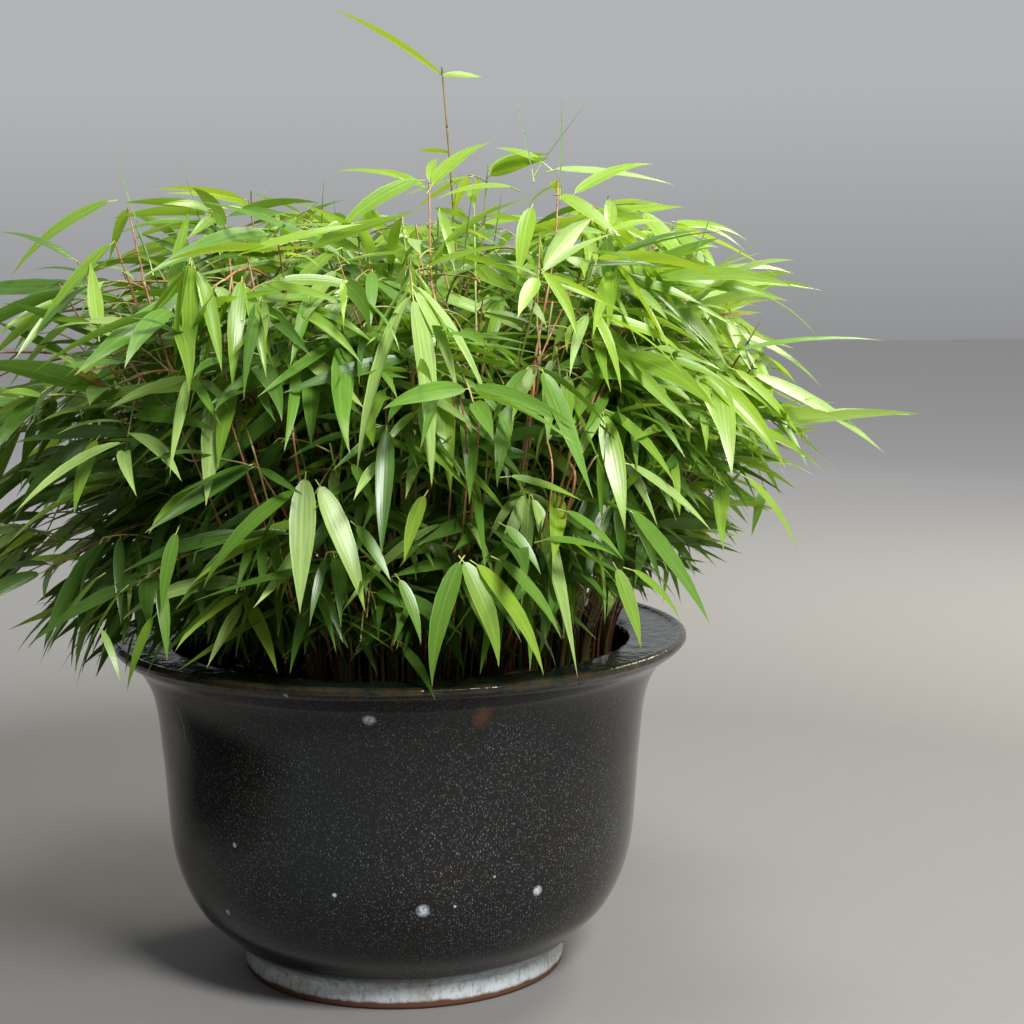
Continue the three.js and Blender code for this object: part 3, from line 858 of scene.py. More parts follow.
def bladeArrays(rows):
    rows = np.array(rows, float)
    root, yaw, climb = rows[:, 0:3], rows[:, 3:4], rows[:, 4:5]
    roll, length, width, droop, twist, sway, fold = (rows[:, i:i + 1] for i in range(5, 12))
    t = bladeStations[None]
    pitch = climb - droop * t ** 1.4
    turn = yaw + sway * t ** 1.5
    ahead = np.stack([np.cos(pitch) * np.cos(turn), np.cos(pitch) * np.sin(turn), np.sin(pitch)], axis=-1)
    middle = (ahead[:, 1:] + ahead[:, :-1]) / 2 * np.diff(bladeStations)[None, :, None] * length[..., None]
    rib = np.concatenate([np.zeros((len(rows), 1, 3)), np.cumsum(middle, axis=1)], axis=1) + root[:, None]
    level = np.stack([-np.sin(turn), np.cos(turn), np.zeros_like(turn)], axis=-1)
    face = np.cross(ahead, level)
    angle = (roll + twist * t)[..., None]
    side = level * np.cos(angle) + face * np.sin(angle)
    back = face * np.cos(angle) - level * np.sin(angle)
    half = (width * bladeWidth(t) / 2)[..., None]
    bend = (fold * (1 - 0.5 * t))[..., None]
    left = rib + side * half * np.cos(bend) + back * half * np.sin(bend)
    right = rib - side * half * np.cos(bend) + back * half * np.sin(bend)
    points = np.stack([left, rib, right], axis=2)
    grid = np.arange(points.size // 3).reshape(points.shape[:3])
    quads = np.stack([grid[:, :-1, :-1], grid[:, :-1, 1:], grid[:, 1:, 1:], grid[:, 1:, :-1]], axis=-1)
    across = np.array([0.0, 0.5, 1.0])
    along = np.stack(np.broadcast_arrays(across[None, None], t[..., None]), axis=-1)
    along = np.repeat(along, len(rows), axis=0)
    return points.reshape(-1, 3), quads.reshape(-1, 4), along.reshape(-1, 2)


def clearOfPot(points):
    gap = space["gap"]
    radius = np.hypot(points[:, 0], points[:, 1])
    outside = radius > pot["rimRadius"] + gap
    above = points[:, 2] > pot["height"] + gap
    inMouth = (radius < pot["mouthRadius"] - gap) & (points[:, 2] > pot["soilHeight"] + gap)
    return bool(np.all(outside | above | inMouth))


def lowerEdge(points):
    # how low leaves hang outside the pot: least on the left, and most at the front, but for one fan
    x, y = points[:, 0], points[:, 1]
    radius = np.maximum(np.hypot(x, y), 1)
    left, front, right = (np.clip(way / radius, 0, 1) ** 2 for way in (-x, -y, x))
    inFan = (x > space["frontFan"][0]) & (x < space["frontFan"][1]) & (y < 0)
    base = between(space["lowest"], space["lowestLeft"], left)
    base = base + space["raisedFront"] * front + space["raisedRight"] * right
    slope = between(space["slope"], space["slopeLeft"], left)
    return np.where(inFan, space["lowest"], base + slope * np.maximum(radius - space["edge"], 0))


def crownHeight(x, y):
    fromRise = ((x - space["riseAt"][0]) ** 2 + (y - space["riseAt"][1]) ** 2) / (2 * space["riseWide"] ** 2)
    return space["up"] + space["rise"] * np.exp(-fromRise)


def outness(points):
    # how far out each point lies in the crown: 1 on its outline
    x, y, z = points[:, 0], points[:, 1], points[:, 2]
    wide = np.where(x > 0, space["right"], space["left"])
    deep = np.where(y > 0, space["back"], space["front"])
    high = np.maximum(z - space["heart"], 0) / crownHeight(x, y)
    power = space["power"]
    return (np.abs(x / wide) ** power + np.abs(y / deep) ** power + high ** power) ** (1 / power)


def outlineOver(spot):
    # the outline's height over a spot, above the heart's
    wide = outness(np.array([[spot[0], spot[1], 0.0]]))[0]
    return crownHeight(spot[0], spot[1]) * max(1 - wide ** space["power"], 0) ** (1 / space["power"])


def insideCrown(points, limit=1.0):
    low, high = np.array(cadBox) / mm
    radius = np.hypot(points[:, 0], points[:, 1])
    inBox = np.all(points >= low - space["reach"]) and np.all(points <= high + space["reach"])
    hangs = (radius > space["hangFrom"]) & (points[:, 2] < lowerEdge(points))
    return bool(inBox and np.all(outness(points) < limit) and not np.any(hangs))


def bladeTip(root, heading, length, droop):
    # where a blade's middle and tip come to lie, near enough to test its room
    flat = unit(np.array([heading[0], heading[1], 1e-6]))
    flat[2] = 0
    first = climbOf(heading) - droop * 0.15
    second = climbOf(heading) - droop * 0.7
    middle = root + length * 0.5 * (flat * math.cos(first) + up * math.sin(first))
    tip = middle + length * 0.5 * (flat * math.cos(second) + up * math.sin(second))
    return np.array([middle, tip])


def fanTintAndShade(spot, random):
    x, _, z = spot
    # painted light: brighter where the light falls, deeper in the shade, with a random share
    light = (
        tintAndShade["upward"] * (z - tintAndShade["upFrom"]) / tintAndShade["upPer"]
        + (tintAndShade["rightward"] * x + tintAndShade["right"] * max(x, 0)) / tintAndShade["rightPer"]
        + tintAndShade["outward"] * (outness(spot[None])[0] - tintAndShade["outFrom"])
        + random(-tintAndShade["chance"], tintAndShade["chance"])
    )
    if random(0, 1) < tintAndShade["paleShare"]:
        return "pale"
    for least, name in tintAndShade["steps"]:
        if light > least:
            return name
    return "deep"


def fanWay(spot, random):
    # how a fan points, and how its leaves droop: nearly level at the top of the crown, hanging at its foot
    foot = min(max((leaf["footFrom"] - spot[2]) / leaf["footDeep"], 0), 1)
    climb = between(random(*leaf["climbTop"]), random(*leaf["climbFoot"]), foot)
    if random(0, 1) < leaf["hanging"]:
        climb -= random(*leaf["steeper"])
    droop = between(random(*leaf["droopTop"]), random(*leaf["droopFoot"]), foot)
    return climb, droop


def lengthToOutline(spot, heading, droop):
    # as long as the crown's outline lets it be
    root = spot + heading * leaf["petiole"]
    for length in leaf["reachingLengths"]:
        if insideCrown(bladeTip(root, heading, length, droop), space["over"]):
            return length
    return leaf["reachingLengths"][-1]


def growFan(line, random, count, size=1.0, raised=False, longEnd=False):
    # leaves stand to the left and right of a twig by turns, and one ends it
    onward = unit(line[-1] - line[0])
    flat = unit(onward * flatWays + 1e-6)
    side = np.array([flat[1], -flat[0], 0]) * (1 if random(0, 1) < 0.5 else -1)
    tint = fanTintAndShade(line[-1], random)
    limit = space["over"] if raised else 1 - space["ragged"] * math.sqrt(random(0, 1))
    fanClimb, fanDroop = fanWay(line[-1], random)
    for i in range(count):
        last = i == count - 1
        share = i / max(count - 1, 1)
        turn = between(*leaf["turns"], share) * random(*leaf["turnSpread"]) * (1 if i % 2 else -1)
        if last:
            turn = random(-leaf["endTurn"], leaf["endTurn"])
        spot = pointOn(line, between(leaf["from"], 1, share))
        heading = unit(flat + side * turn + up * (fanClimb + random(-leaf["ownClimb"], leaf["ownClimb"])))
        droop = fanDroop * random(*leaf["droopSpread"])
        length = random(*leaf["lengths"]) * size
        length *= leaf["large"] if random(0, 1) < leaf["largeShare"] else 1.0
        length *= between(leaf["firstSize"], 1, min(share * 2, 1))
        if last and longEnd:
            length = lengthToOutline(spot, heading, droop)
        width = length * random(*leaf["widths"])
        roll, *bends = [random(*leaf[key]) for key in ("rolls", "twists", "sways", "folds")]
        kind = tint if random(0, 1) < leaf["ownTint"] else leafSets[int(random(0, len(leafSets) - 0.01))]
        if random(0, 1) < leaf["dryShare"]:
            kind = "dry"
            length *= leaf["dry"]
            width *= leaf["dry"]
        root = spot + heading * leaf["petiole"]
        room = bladeTip(root, heading, length, droop)
        if clearOfPot(room) and insideCrown(room, limit):
            heap.add(kind, root, heading, (roll, length, width, droop, *bends))
            tubes["petiole"].add([spot, root + heading * 1.5], leaf["petioleThick"])


twig = {
    "thick": (1.9, 1.2),
    "droop": 0.28,
    "rise": 0.5,
    "outward": (0.2, 0.6),        # more on the left, where the leaves lie all one way
    "leftWide": 300,
    "wander": 0.4,
    "lengths": (0.65, 1.45),      # shares of its ring's own value
    "leaves": (4, 7.4),
    "shell": (230, 230, 250),     # outside this, some twigs are left out
    "thinned": 0.3,
    "starts": (0.75, 1.1),        # where a finer cane's twigs begin, as a share of the bare stretch
    "last": 0.97,                 # and where on its cane the last one stands
    "extra": (1, -2),             # how many more than its ring's own value: a main cane, and a finer one
    "lastLengths": (16, 52),
    "lastLeaves": 6,
    "lastSizes": (1.14, 1.0),     # of leaves at the end of a main cane, and of a finer one
}
fork = {
    "share": 0.35,                # share of twigs that fork
    "starts": (0.3, 0.7),
    "aside": (-1.2, 1.2),
    "upward": (-0.2, 0.5),
    "lengths": (18, 40),
    "thick": (1.4, 1.0),
    "leaves": 3,
    "size": 0.9,
}


def twigLine(start, heading, length):
    # up and out from its stem, then hanging a little at its end
    end = start + heading * length - up * twig["droop"] * length
    middle = start + heading * length * 0.5
    t = np.linspace(0, 1, 5)[:, None]
    return start * (1 - t) ** 2 + 2 * middle * t * (1 - t) + end * t ** 2


def addTwig(line, thick):
    tubes["twig"].add(line, np.linspace(*thick, len(line)))


def growCane(own):
    random, ring, controls, main = (own[key] for key in ("random", "ring", "controls", "main"))
    line = nodedLine(controls)
    share = 1.0 if main else random(*sister["thick"])
    kind = "caneRed" if random(0, 1) < cane["redShare"] else "caneOlive"
    if not main and random(0, 1) < sister["greenShare"]:
        kind = "caneGreen"
    tubes[kind].add(line, caneThickness(line, cane["footThick"] * share, cane["tipThick"] * share))
    smooth = bezier(controls, 60)
    nodes = ring["nodes"] + twig["extra"][0 if main else 1]
    start = ring["bare"] * (1.0 if main else random(*twig["starts"]))
    for i in range(nodes):
        part = between(start, twig["last"], i / (nodes - 1))
        spot = pointOn(smooth, part)
        ahead = unit(pointOn(smooth, min(part + 0.03, 1.0)) - pointOn(smooth, part - 0.02))
        turn = goldenAngle * i + random(-twig["wander"], twig["wander"])
        across = turnAbout(unit(np.cross(ahead, up)), ahead, turn)
        outward = unit(spot - crownHeart)
        weight = between(*twig["outward"], min(max(-spot[0] / twig["leftWide"], 0), 1))
        onward = unit(unit(across + ahead * twig["rise"]) + outward * weight)
        grown = twigLine(spot, onward, ring["twig"] * random(*twig["lengths"]))
        thinned = np.linalg.norm((spot - crownHeart) / twig["shell"]) > 1 and random(0, 1) < twig["thinned"]
        if thinned or not (clearOfPot(grown) and insideCrown(grown)):
            continue
        addTwig(grown, twig["thick"])
        growFan(grown, random, int(random(*twig["leaves"])))
        if random(0, 1) < fork["share"]:
            spot = pointOn(grown, random(*fork["starts"]))
            aside = unit(np.cross(onward, up)) * random(*fork["aside"])
            aimed = unit(onward + aside + up * random(*fork["upward"]))
            twiglet = twigLine(spot, aimed, random(*fork["lengths"]))
            addTwig(twiglet, fork["thick"])
            growFan(twiglet, random, fork["leaves"], fork["size"])
    # a last twig carries on from the cane's tip
    tip = smooth[-1]
    ahead = unit((tip - smooth[-4]) * np.array([1, 1, 0.4]))
    end = twigLine(tip, ahead, random(*twig["lastLengths"]))
    addTwig(end, (cane["tipThick"] * share, twig["thick"][1]))
    size = twig["lastSizes"][0 if main else 1]
    growFan(end, random, twig["lastLeaves"], size, own["outer"], own["outer"])


def uprightCane(foot, top, over, steps):
    # a cane that rises straight and leans over at its top, as a line and as a smooth curve
    controls = [foot, foot + up * (top[2] - soilTop) / 3, over, top]
    return nodedLine(controls), bezier(controls, steps)


def growTallCane():
    foot = np.array([*tallCane["foot"], soilTop], float)
    tip = np.array(tallCane["tip"], float)
    bowed = foot + (tip - foot) * tallCane["bowAt"] + np.array([tallCane["bow"], 0, 0])
    line, smooth = uprightCane(foot, tip, bowed, 60)
    tubes["caneOlive"].add(line, caneThickness(line, tallCane["thick"], tallCane["tipThick"]))
    for sprout in tallCane["leaves"]:
        heading = unit(ringPoint(1, sprout["turn"], sprout["climb"]))
        shape = (0.5, sprout["length"], sprout["wide"], 0.3, 0.5, 0, 0.3)
        heap.add("bright", pointOn(smooth, sprout["part"]), heading, shape)


# Leaves that stand out in the photograph, measured there: kind, root across and down in its pixels,
# tip in the same way, and the width as a share of the length.
# Their kinds are painted light: a lit or shaded tint for each leaf, pale for a painted sheen.
pictureLeaves = [
    ("pale", 305, 479, 300, 614, 0.2), ("bright", 320, 486, 365, 612, 0.18),
    ("pale", 222, 380, 206, 506, 0.2), ("fresh", 234, 392, 218, 470, 0.2), ("mid", 312, 363, 311, 448, 0.2),
    ("pale", 352, 284, 312, 350, 0.2), ("fresh", 417, 180, 330, 242, 0.19),
    ("bright", 424, 496, 404, 563, 0.22), ("fresh", 464, 562, 499, 668, 0.2),
    ("mid", 460, 562, 432, 688, 0.17), ("bright", 478, 565, 544, 676, 0.18),
    ("mid", 500, 560, 562, 640, 0.17), ("bright", 604, 416, 625, 530, 0.19),
    ("fresh", 612, 412, 676, 486, 0.16), ("pale", 600, 414, 577, 466, 0.2),
    ("bright", 719, 377, 732, 476, 0.2), ("pale", 756, 376, 884, 453, 0.15),
    ("bright", 736, 370, 806, 446, 0.17), ("mid", 632, 512, 710, 625, 0.2),
    ("fresh", 617, 569, 641, 648, 0.2), ("pale", 654, 290, 728, 368, 0.2),
    ("bright", 531, 208, 518, 282, 0.2), ("fresh", 552, 360, 548, 445, 0.17),
    ("fresh", 567, 376, 568, 440, 0.2), ("mid", 510, 405, 497, 488, 0.18),
    ("bright", 433, 183, 494, 142, 0.22), ("bright", 544, 163, 496, 148, 0.26),
    ("bright", 512, 187, 435, 200, 0.18), ("bright", 399, 177, 332, 172, 0.13),
    ("bright", 575, 193, 654, 164, 0.15), ("pale", 556, 169, 674, 185, 0.1),
    ("bright", 561, 195, 621, 242, 0.2), ("pale", 566, 258, 635, 300, 0.19),
    ("pale", 522, 295, 547, 327, 0.24), ("pale", 442, 339, 388, 367, 0.22),
    ("fresh", 431, 335, 355, 350, 0.17), ("fresh", 622, 315, 690, 331, 0.16),
    ("bright", 626, 309, 576, 284, 0.18), ("mid", 582, 376, 688, 392, 0.2),
    ("fresh", 535, 365, 512, 422, 0.2), ("fresh", 391, 398, 337, 409, 0.18),
    ("fresh", 384, 390, 365, 444, 0.2), ("fresh", 375, 436, 436, 468, 0.16),
    ("mid", 352, 464, 376, 516, 0.2), ("mid", 357, 526, 391, 582, 0.2), ("mid", 400, 580, 421, 645, 0.2),
    ("mid", 506, 526, 541, 575, 0.2), ("mid", 546, 539, 622, 559, 0.15),
    ("fresh", 511, 476, 582, 501, 0.15), ("mid", 567, 511, 624, 561, 0.2),
    ("pale", 630, 464, 712, 532, 0.12), ("fresh", 633, 570, 681, 622, 0.15),
    ("fresh", 109, 201, 10, 278, 0.17), ("mid", 340, 255, 196, 201, 0.08),
    ("fresh", 335, 250, 266, 332, 0.15), ("bright", 335, 271, 286, 338, 0.16),
    ("fresh", 206, 388, 36, 424, 0.12), ("pale", 141, 326, 50, 330, 0.14),
    ("fresh", 297, 381, 222, 396, 0.2), ("fresh", 400, 332, 322, 358, 0.2),
    ("mid", 294, 491, 202, 590, 0.16), ("mid", 176, 533, 162, 615, 0.18),
    ("fresh", 172, 296, 191, 206, 0.13), ("fresh", 676, 228, 706, 270, 0.24),
    ("bright", 644, 213, 694, 283, 0.2), ("fresh", 650, 290, 824, 291, 0.07),
    ("fresh", 708, 275, 794, 274, 0.1), ("fresh", 749, 289, 818, 338, 0.14),
    ("mid", 726, 353, 884, 341, 0.05), ("fresh", 743, 335, 822, 388, 0.14),
    ("pale", 656, 347, 724, 372, 0.19), ("fresh", 726, 417, 826, 474, 0.12),
    ("bright", 748, 478, 798, 554, 0.17), ("mid", 98, 577, 40, 664, 0.11), ("mid", 122, 590, 76, 692, 0.06),
    ("fresh", 153, 617, 127, 692, 0.16), ("mid", 160, 581, 167, 662, 0.16),
    ("fresh", 102, 630, 120, 682, 0.14), ("fresh", 96, 440, 74, 515, 0.2),
    ("bright", 98, 328, 90, 262, 0.18), ("spear", 150, 262, 110, 140, 0.015),
    ("spear", 205, 236, 178, 155, 0.015), ("spear", 532, 170, 516, 96, 0.015),
    ("spear", 560, 190, 562, 92, 0.015), ("spear", 540, 165, 590, 98, 0.015),
    ("spear", 682, 290, 722, 188, 0.015),
]
# Canes that show between the leaves, measured in the same way: kind, thickness, and its places in the
# photograph, upward from the lowest that shows.
pictureCanes = [
    ("caneRed", 3.4, [(570, 501), (569, 456), (588, 412), (635, 299)]),
    ("caneRed", 2.4, [(573, 470), (593, 411), (640, 303)]),
    ("caneOlive", 2.4, [(566, 470), (584, 412), (629, 301)]),
    ("caneRed", 3.0, [(530, 420), (535, 360), (554, 254), (558, 180)]),
    ("caneOlive", 2.6, [(536, 400), (537, 317), (540, 236)]),
    ("caneRed", 2.4, [(530, 400), (540, 359), (572, 289)]),
    ("caneRed", 2.4, [(534, 390), (544, 359), (621, 317)]),
    ("caneRed", 2.6, [(436, 350), (431, 275), (429, 183)]),
    ("caneRed", 2.4, [(430, 340), (425, 285), (416, 225)]),
    ("caneGreen", 2.2, [(478, 440), (477, 366), (474, 208)]),
    ("caneRed", 2.8, [(467, 473), (456, 380), (447, 335)]),
    ("caneRed", 2.4, [(454, 440), (447, 370)]),
    ("caneOlive", 2.4, [(488, 423), (446, 338)]),
    ("caneRed", 2.6, [(476, 460), (480, 397), (486, 340)]),
    ("caneGreen", 2.2, [(414, 360), (412, 317), (402, 215)]),
    ("caneRed", 2.8, [(384, 384), (359, 322), (339, 261)]),
    ("caneOlive", 2.4, [(392, 390), (390, 367), (370, 303)]),
    ("caneRed", 3.0, [(243, 345), (232, 283), (227, 228)]),
    ("caneRed", 2.4, [(262, 340), (258, 308), (244, 240)]),
    ("caneRed", 2.6, [(158, 330), (141, 266), (128, 208)]),
    ("caneRed", 2.6, [(232, 400), (218, 367), (201, 320)]),
    ("caneOlive", 2.6, [(261, 477), (241, 415)]),
    ("caneRed", 2.4, [(246, 469), (231, 421)]),
    ("caneRed", 2.6, [(190, 449), (157, 398), (126, 360)]),
    ("caneRed", 2.4, [(296, 457), (294, 404), (290, 340)]),
    ("caneRed", 2.6, [(549, 505), (545, 430)]),
    ("caneOlive", 2.4, [(582, 481), (601, 459)]),
]
# All of these lie on the crown's near side, which is close to this.
nearSide = {
    "middle": 330,
    "radii": (436, 330, 388),
    "least": 0.004,
    "leavesSunk": 12,
    "canesSunk": 26,
    "slant": 45,                  # how much nearer or further a leaf's tip may be than its root
    "droops": (0.25, 0.6),
    "droopShare": 0.417,
    "rollToFace": 0.55,           # a leaf that points across the picture is rolled to show its face
    "ownRoll": 0.15,
    "twist": 0.2,
    "folds": (0.08, 0.25),
    "longer": 1.01,
    "petioleThick": (1.4, 1.0),
    "feet": (0.4, 0.6),
    "feetAcross": 0.75,
    "widest": 140,                # how far from the middle the feet may be
    "tipThick": 1.3,
    "endLeaves": 2,
    "endSize": 0.8,
    "leafSeed": 4021,
    "caneSeed": 4057,
}


def shownAt(pixel, depth):
    # the point at this depth that shows at a pixel
    view = cameraMatrix()
    focal = cameraView["lens"] / cameraView["sensor"] * cameraView["pixels"]
    half = cameraView["pixels"] / 2
    ray = view.to_3x3() @ Vector(((pixel[0] - half) / focal, (half - pixel[1]) / focal, -1))
    place = view.translation
    return np.array(place + ray * ((depth * mm - place.y) / ray.y)) / mm


def seen(pixel, sunk):
    # the point of the crown's near side that shows at a pixel
    wide, deep, high = nearSide["radii"]
    depth = 0.0
    for _ in range(6):
        point = shownAt(pixel, depth)
        across = (point[0] / wide) ** 2
        upward = ((point[2] - nearSide["middle"]) / high) ** 2
        depth = -deep * math.sqrt(max(1 - across - upward, nearSide["least"])) + sunk
    return point


def growPictureLeaves():
    random = SeededRandom(nearSide["leafSeed"])
    slant = nearSide["slant"]
    for kind, rootX, rootY, tipX, tipY, wide in pictureLeaves:
        root = seen((rootX, rootY), nearSide["leavesSunk"])
        tip = seen((tipX, tipY), 0)
        tip = shownAt((tipX, tipY), root[1] + min(max(tip[1] - root[1], -slant), slant))
        chord = tip - root
        length = np.linalg.norm(chord)
        droop = 0.0 if kind == "spear" else random(*nearSide["droops"])
        climb = math.asin(chord[2] / length) + nearSide["droopShare"] * droop
        flat = unit(chord * flatWays)
        heading = flat * math.cos(climb) + up * math.sin(climb)
        roll = nearSide["rollToFace"] * flat[0] + random(-nearSide["ownRoll"], nearSide["ownRoll"])
        twist = random(-nearSide["twist"], nearSide["twist"])
        fold = random(*nearSide["folds"])
        shape = (roll, length * nearSide["longer"], length * wide, droop, twist, 0, fold)
        heap.add(kind, root, heading, shape)
        tubes["petiole"].add([root - heading * 9 - up * 3, root + heading * 1.5], nearSide["petioleThick"])


def growPictureCanes():
    random = SeededRandom(nearSide["caneSeed"])
    for kind, thick, pixels in pictureCanes:
        shown = [seen(pixel, nearSide["canesSunk"]) for pixel in pixels]
        foot = shown[0] * np.array([nearSide["feetAcross"], random(*nearSide["feet"]), 0])
        foot *= min(1, nearSide["widest"] / np.linalg.norm(foot))
        foot[2] = soilTop
        line = np.array(splinePoints([foot, *shown], 8))
        tubes[kind].add(line, caneThickness(line, thick, nearSide["tipThick"]))
        growFan(line[-3:], random, nearSide["endLeaves"], nearSide["endSize"], True)


# Young canes, nearly upright: some rise a little above the crown, others stand just inside its surface.
youngKeys = [
    "count", "heart", "radius", "lean", "rises", "twigs", "twigFrom", "lengths", "leaves", "raised",
    "ending", "seed", "widest",   # the last: how far from the middle their feet may be
]
youngCanes = [dict(zip(youngKeys, row)) for row in [
    (46, (20, -20), (10, 310), 0.6, (0.8, 0.97), 2, 0.78, (20, 50), (3, 5.4), True, 5, 30011, 140),
    (66, (0, -20), (150, 285), 0.66, (0.45, 0.85), 3, 0.55, (20, 56), (3, 5.4), False, 5, 51001, 140),
    (36, (0, -40), (40, 270), 0.6, (0.6, 0.95), 2, 0.86, (14, 30), (1, 3.4), True, 2, 41003, 140),
    (26, (20, -185), (0, 150), 0.52, (0.55, 0.86), 2, 0.88, (12, 26), (1, 2.9), True, 2, 83009, 140),
    (44, (0, -10), (110, 188), 0.7, (0.0, 0.16), 2, 0.6, (14, 34), (3, 5.4), False, 4, 71005, 140),
    (26, (215, -15), (0, 70), 0.8, (0.2, 0.5), 2, 0.85, (16, 40), (1, 3.4), False, 3, 97007, 182),
    (34, (225, -120), (0, 80), 0.62, (0.5, 0.8), 3, 0.78, (16, 44), (2, 4.4), False, 4, 61001, 172),
]]
# What all of them share.
young = {
    "kinds": ["caneRed", "caneRed", "caneOlive", "caneGreen"],
    "footThick": (1.8, 2.8),
    "tipThick": 1.2,
    "wander": 0.4,
    "bowAt": 0.66,
    "bow": (0, 30),
    "lastTwig": 0.96,
    "twigWander": 0.5,
    "twigClimb": (0.1, 0.7),
    "outward": 0.3,
    "twigThick": (1.5, 1.1),
    "size": 0.94,
    "ends": (0.94, 0.97, 1.0),
    "seedStep": 977,
}


def growYoungCanes(own):
    for i in range(own["count"]):
        random = SeededRandom(own["seed"] + young["seedStep"] * i)
        radius = between(*own["radius"], math.sqrt(random(0, 1)))
        angle = goldenAngle * i + random(-young["wander"], young["wander"])
        top = ringPoint(radius, angle, 0) + np.array([*own["heart"], 0])
        top[2] = outlineOver(top) * random(*own["rises"]) + space["heart"]
        foot = top * min(own["lean"], own["widest"] / max(np.hypot(top[0], top[1]), 1))
        foot[2] = soilTop
        over = foot + (top - foot) * young["bowAt"] + up * random(*young["bow"])
        line, smooth = uprightCane(foot, top, over, 40)
        kind = young["kinds"][int(random(0, len(young["kinds"]) - 0.01))]
        tubes[kind].add(line, caneThickness(line, random(*young["footThick"]), young["tipThick"]))
        for k in range(own["twigs"]):
            spot = pointOn(smooth, between(own["twigFrom"], young["lastTwig"], k / (own["twigs"] - 1)))
            turn = goldenAngle * k + angle + random(-young["twigWander"], young["twigWander"])
            aside = ringPoint(1, turn, random(*young["twigClimb"]))
            onward = unit(aside + unit(spot - crownHeart) * young["outward"])
            grown = twigLine(spot, onward, random(*own["lengths"]))
            addTwig(grown, young["twigThick"])
            leaves = int(random(*own["leaves"]))
            growFan(grown, random, leaves, young["size"], own["raised"])
        end = np.array([pointOn(smooth, part) for part in young["ends"]])
        growFan(end, random, own["ending"], young["size"], own["raised"])


def layLitter():
    # dry leaves and bits of twig on the compost, most of them at its edge
    random = SeededRandom(compost["litterSeed"])
    for i in range(compost["litter"] + compost["twigBits"]):
        radius = pot["mouthRadius"] * math.sqrt(random(0.2, 0.8))
        spot = ringPoint(radius, goldenAngle * i, soilLevel(radius) + random(2, 7))
        way = ringPoint(1, random(0, 2 * math.pi), random(-0.05, 0.12))
        length = random(*compost["litterLengths"])
        if np.hypot(*(spot + way * length)[:2]) > pot["mouthRadius"] - 8:
            continue
        if i < compost["litter"]:
            roll = random(-0.5, 0.5)
            width = length * random(0.1, 0.18)
            bends = [random(*ends) for ends in ((-0.1, 0.2), (-1, 1), (-0.6, 0.6), (0.1, 1.0))]
            heap.add("dry", spot, unit(way), (roll, length, width, *bends))
        else:
            tubes["twig"].add([spot, spot + way * length * 0.5 + up, spot + way * length], [1.6, 1.5, 1.0])


# Rolled new leaves stand up from the crown as thin spears.
spears = {
    "count": 26,
    "length": (55, 95),
    "thick": 2.2,
    "starts": (0.86, 1.0),
    "outward": 0.7,
    "upward": (0.6, 1.4),
    "aside": 0.4,
    "over": 1.08,                 # how far they may go over the crown's outline
    "seed": 77003,
}


def growSpears(canes):
    random = SeededRandom(spears["seed"])
    tops = [own for own in canes if own["ring"]["name"] != "low"]
    for _ in range(spears["count"]):
        own = tops[int(random(0, len(tops) - 0.01))]
        spot = pointOn(bezier(own["controls"], 30), random(*spears["starts"]))
        aside = ringPoint(random(0, spears["aside"]), random(0, 6.28), 0)
        outward = unit(spot - crownHeart) * spears["outward"]
        heading = unit(outward + up * random(*spears["upward"]) + aside)
        length = random(*spears["length"])
        shape = (random(0, 3), length, spears["thick"], random(-0.1, 0.3), 0.5, 0, 1.2)
        if insideCrown(np.array([spot + heading * length]), spears["over"]):
            heap.add("spear", spot, heading, shape)


# Each kind of leaf: its upper side, the light that shines through it and its share, and how its veins show.
# Bright, fresh, mid and deep are lit and shaded copies of one green, as painted light; pale is partly a
# paler green and partly a painted sheen.
leafTints = {
    "bright": (rgb(0.28, 0.46, 0.045), rgb(0.57, 0.79, 0.05), 0.36, 0.5),
    "fresh": (rgb(0.205, 0.36, 0.036), rgb(0.42, 0.67, 0.045), 0.3, 0.5),
    "mid": (rgb(0.125, 0.265, 0.03), rgb(0.29, 0.50, 0.03), 0.26, 0.5),
    "deep": (rgb(0.066, 0.152, 0.019), rgb(0.18, 0.34, 0.02), 0.22, 0.5),
    "pale": (rgb(0.34, 0.50, 0.14), rgb(0.46, 0.69, 0.10), 0.26, 0.55),
    "spear": (rgb(0.11, 0.22, 0.05), rgb(0.2, 0.38, 0.05), 0.15, 0.02),
    "dry": (rgb(0.36, 0.2, 0.07), rgb(0.5, 0.28, 0.07), 0.2, 0.5),
}
leafTip = rgb(0.42, 0.34, 0.12)


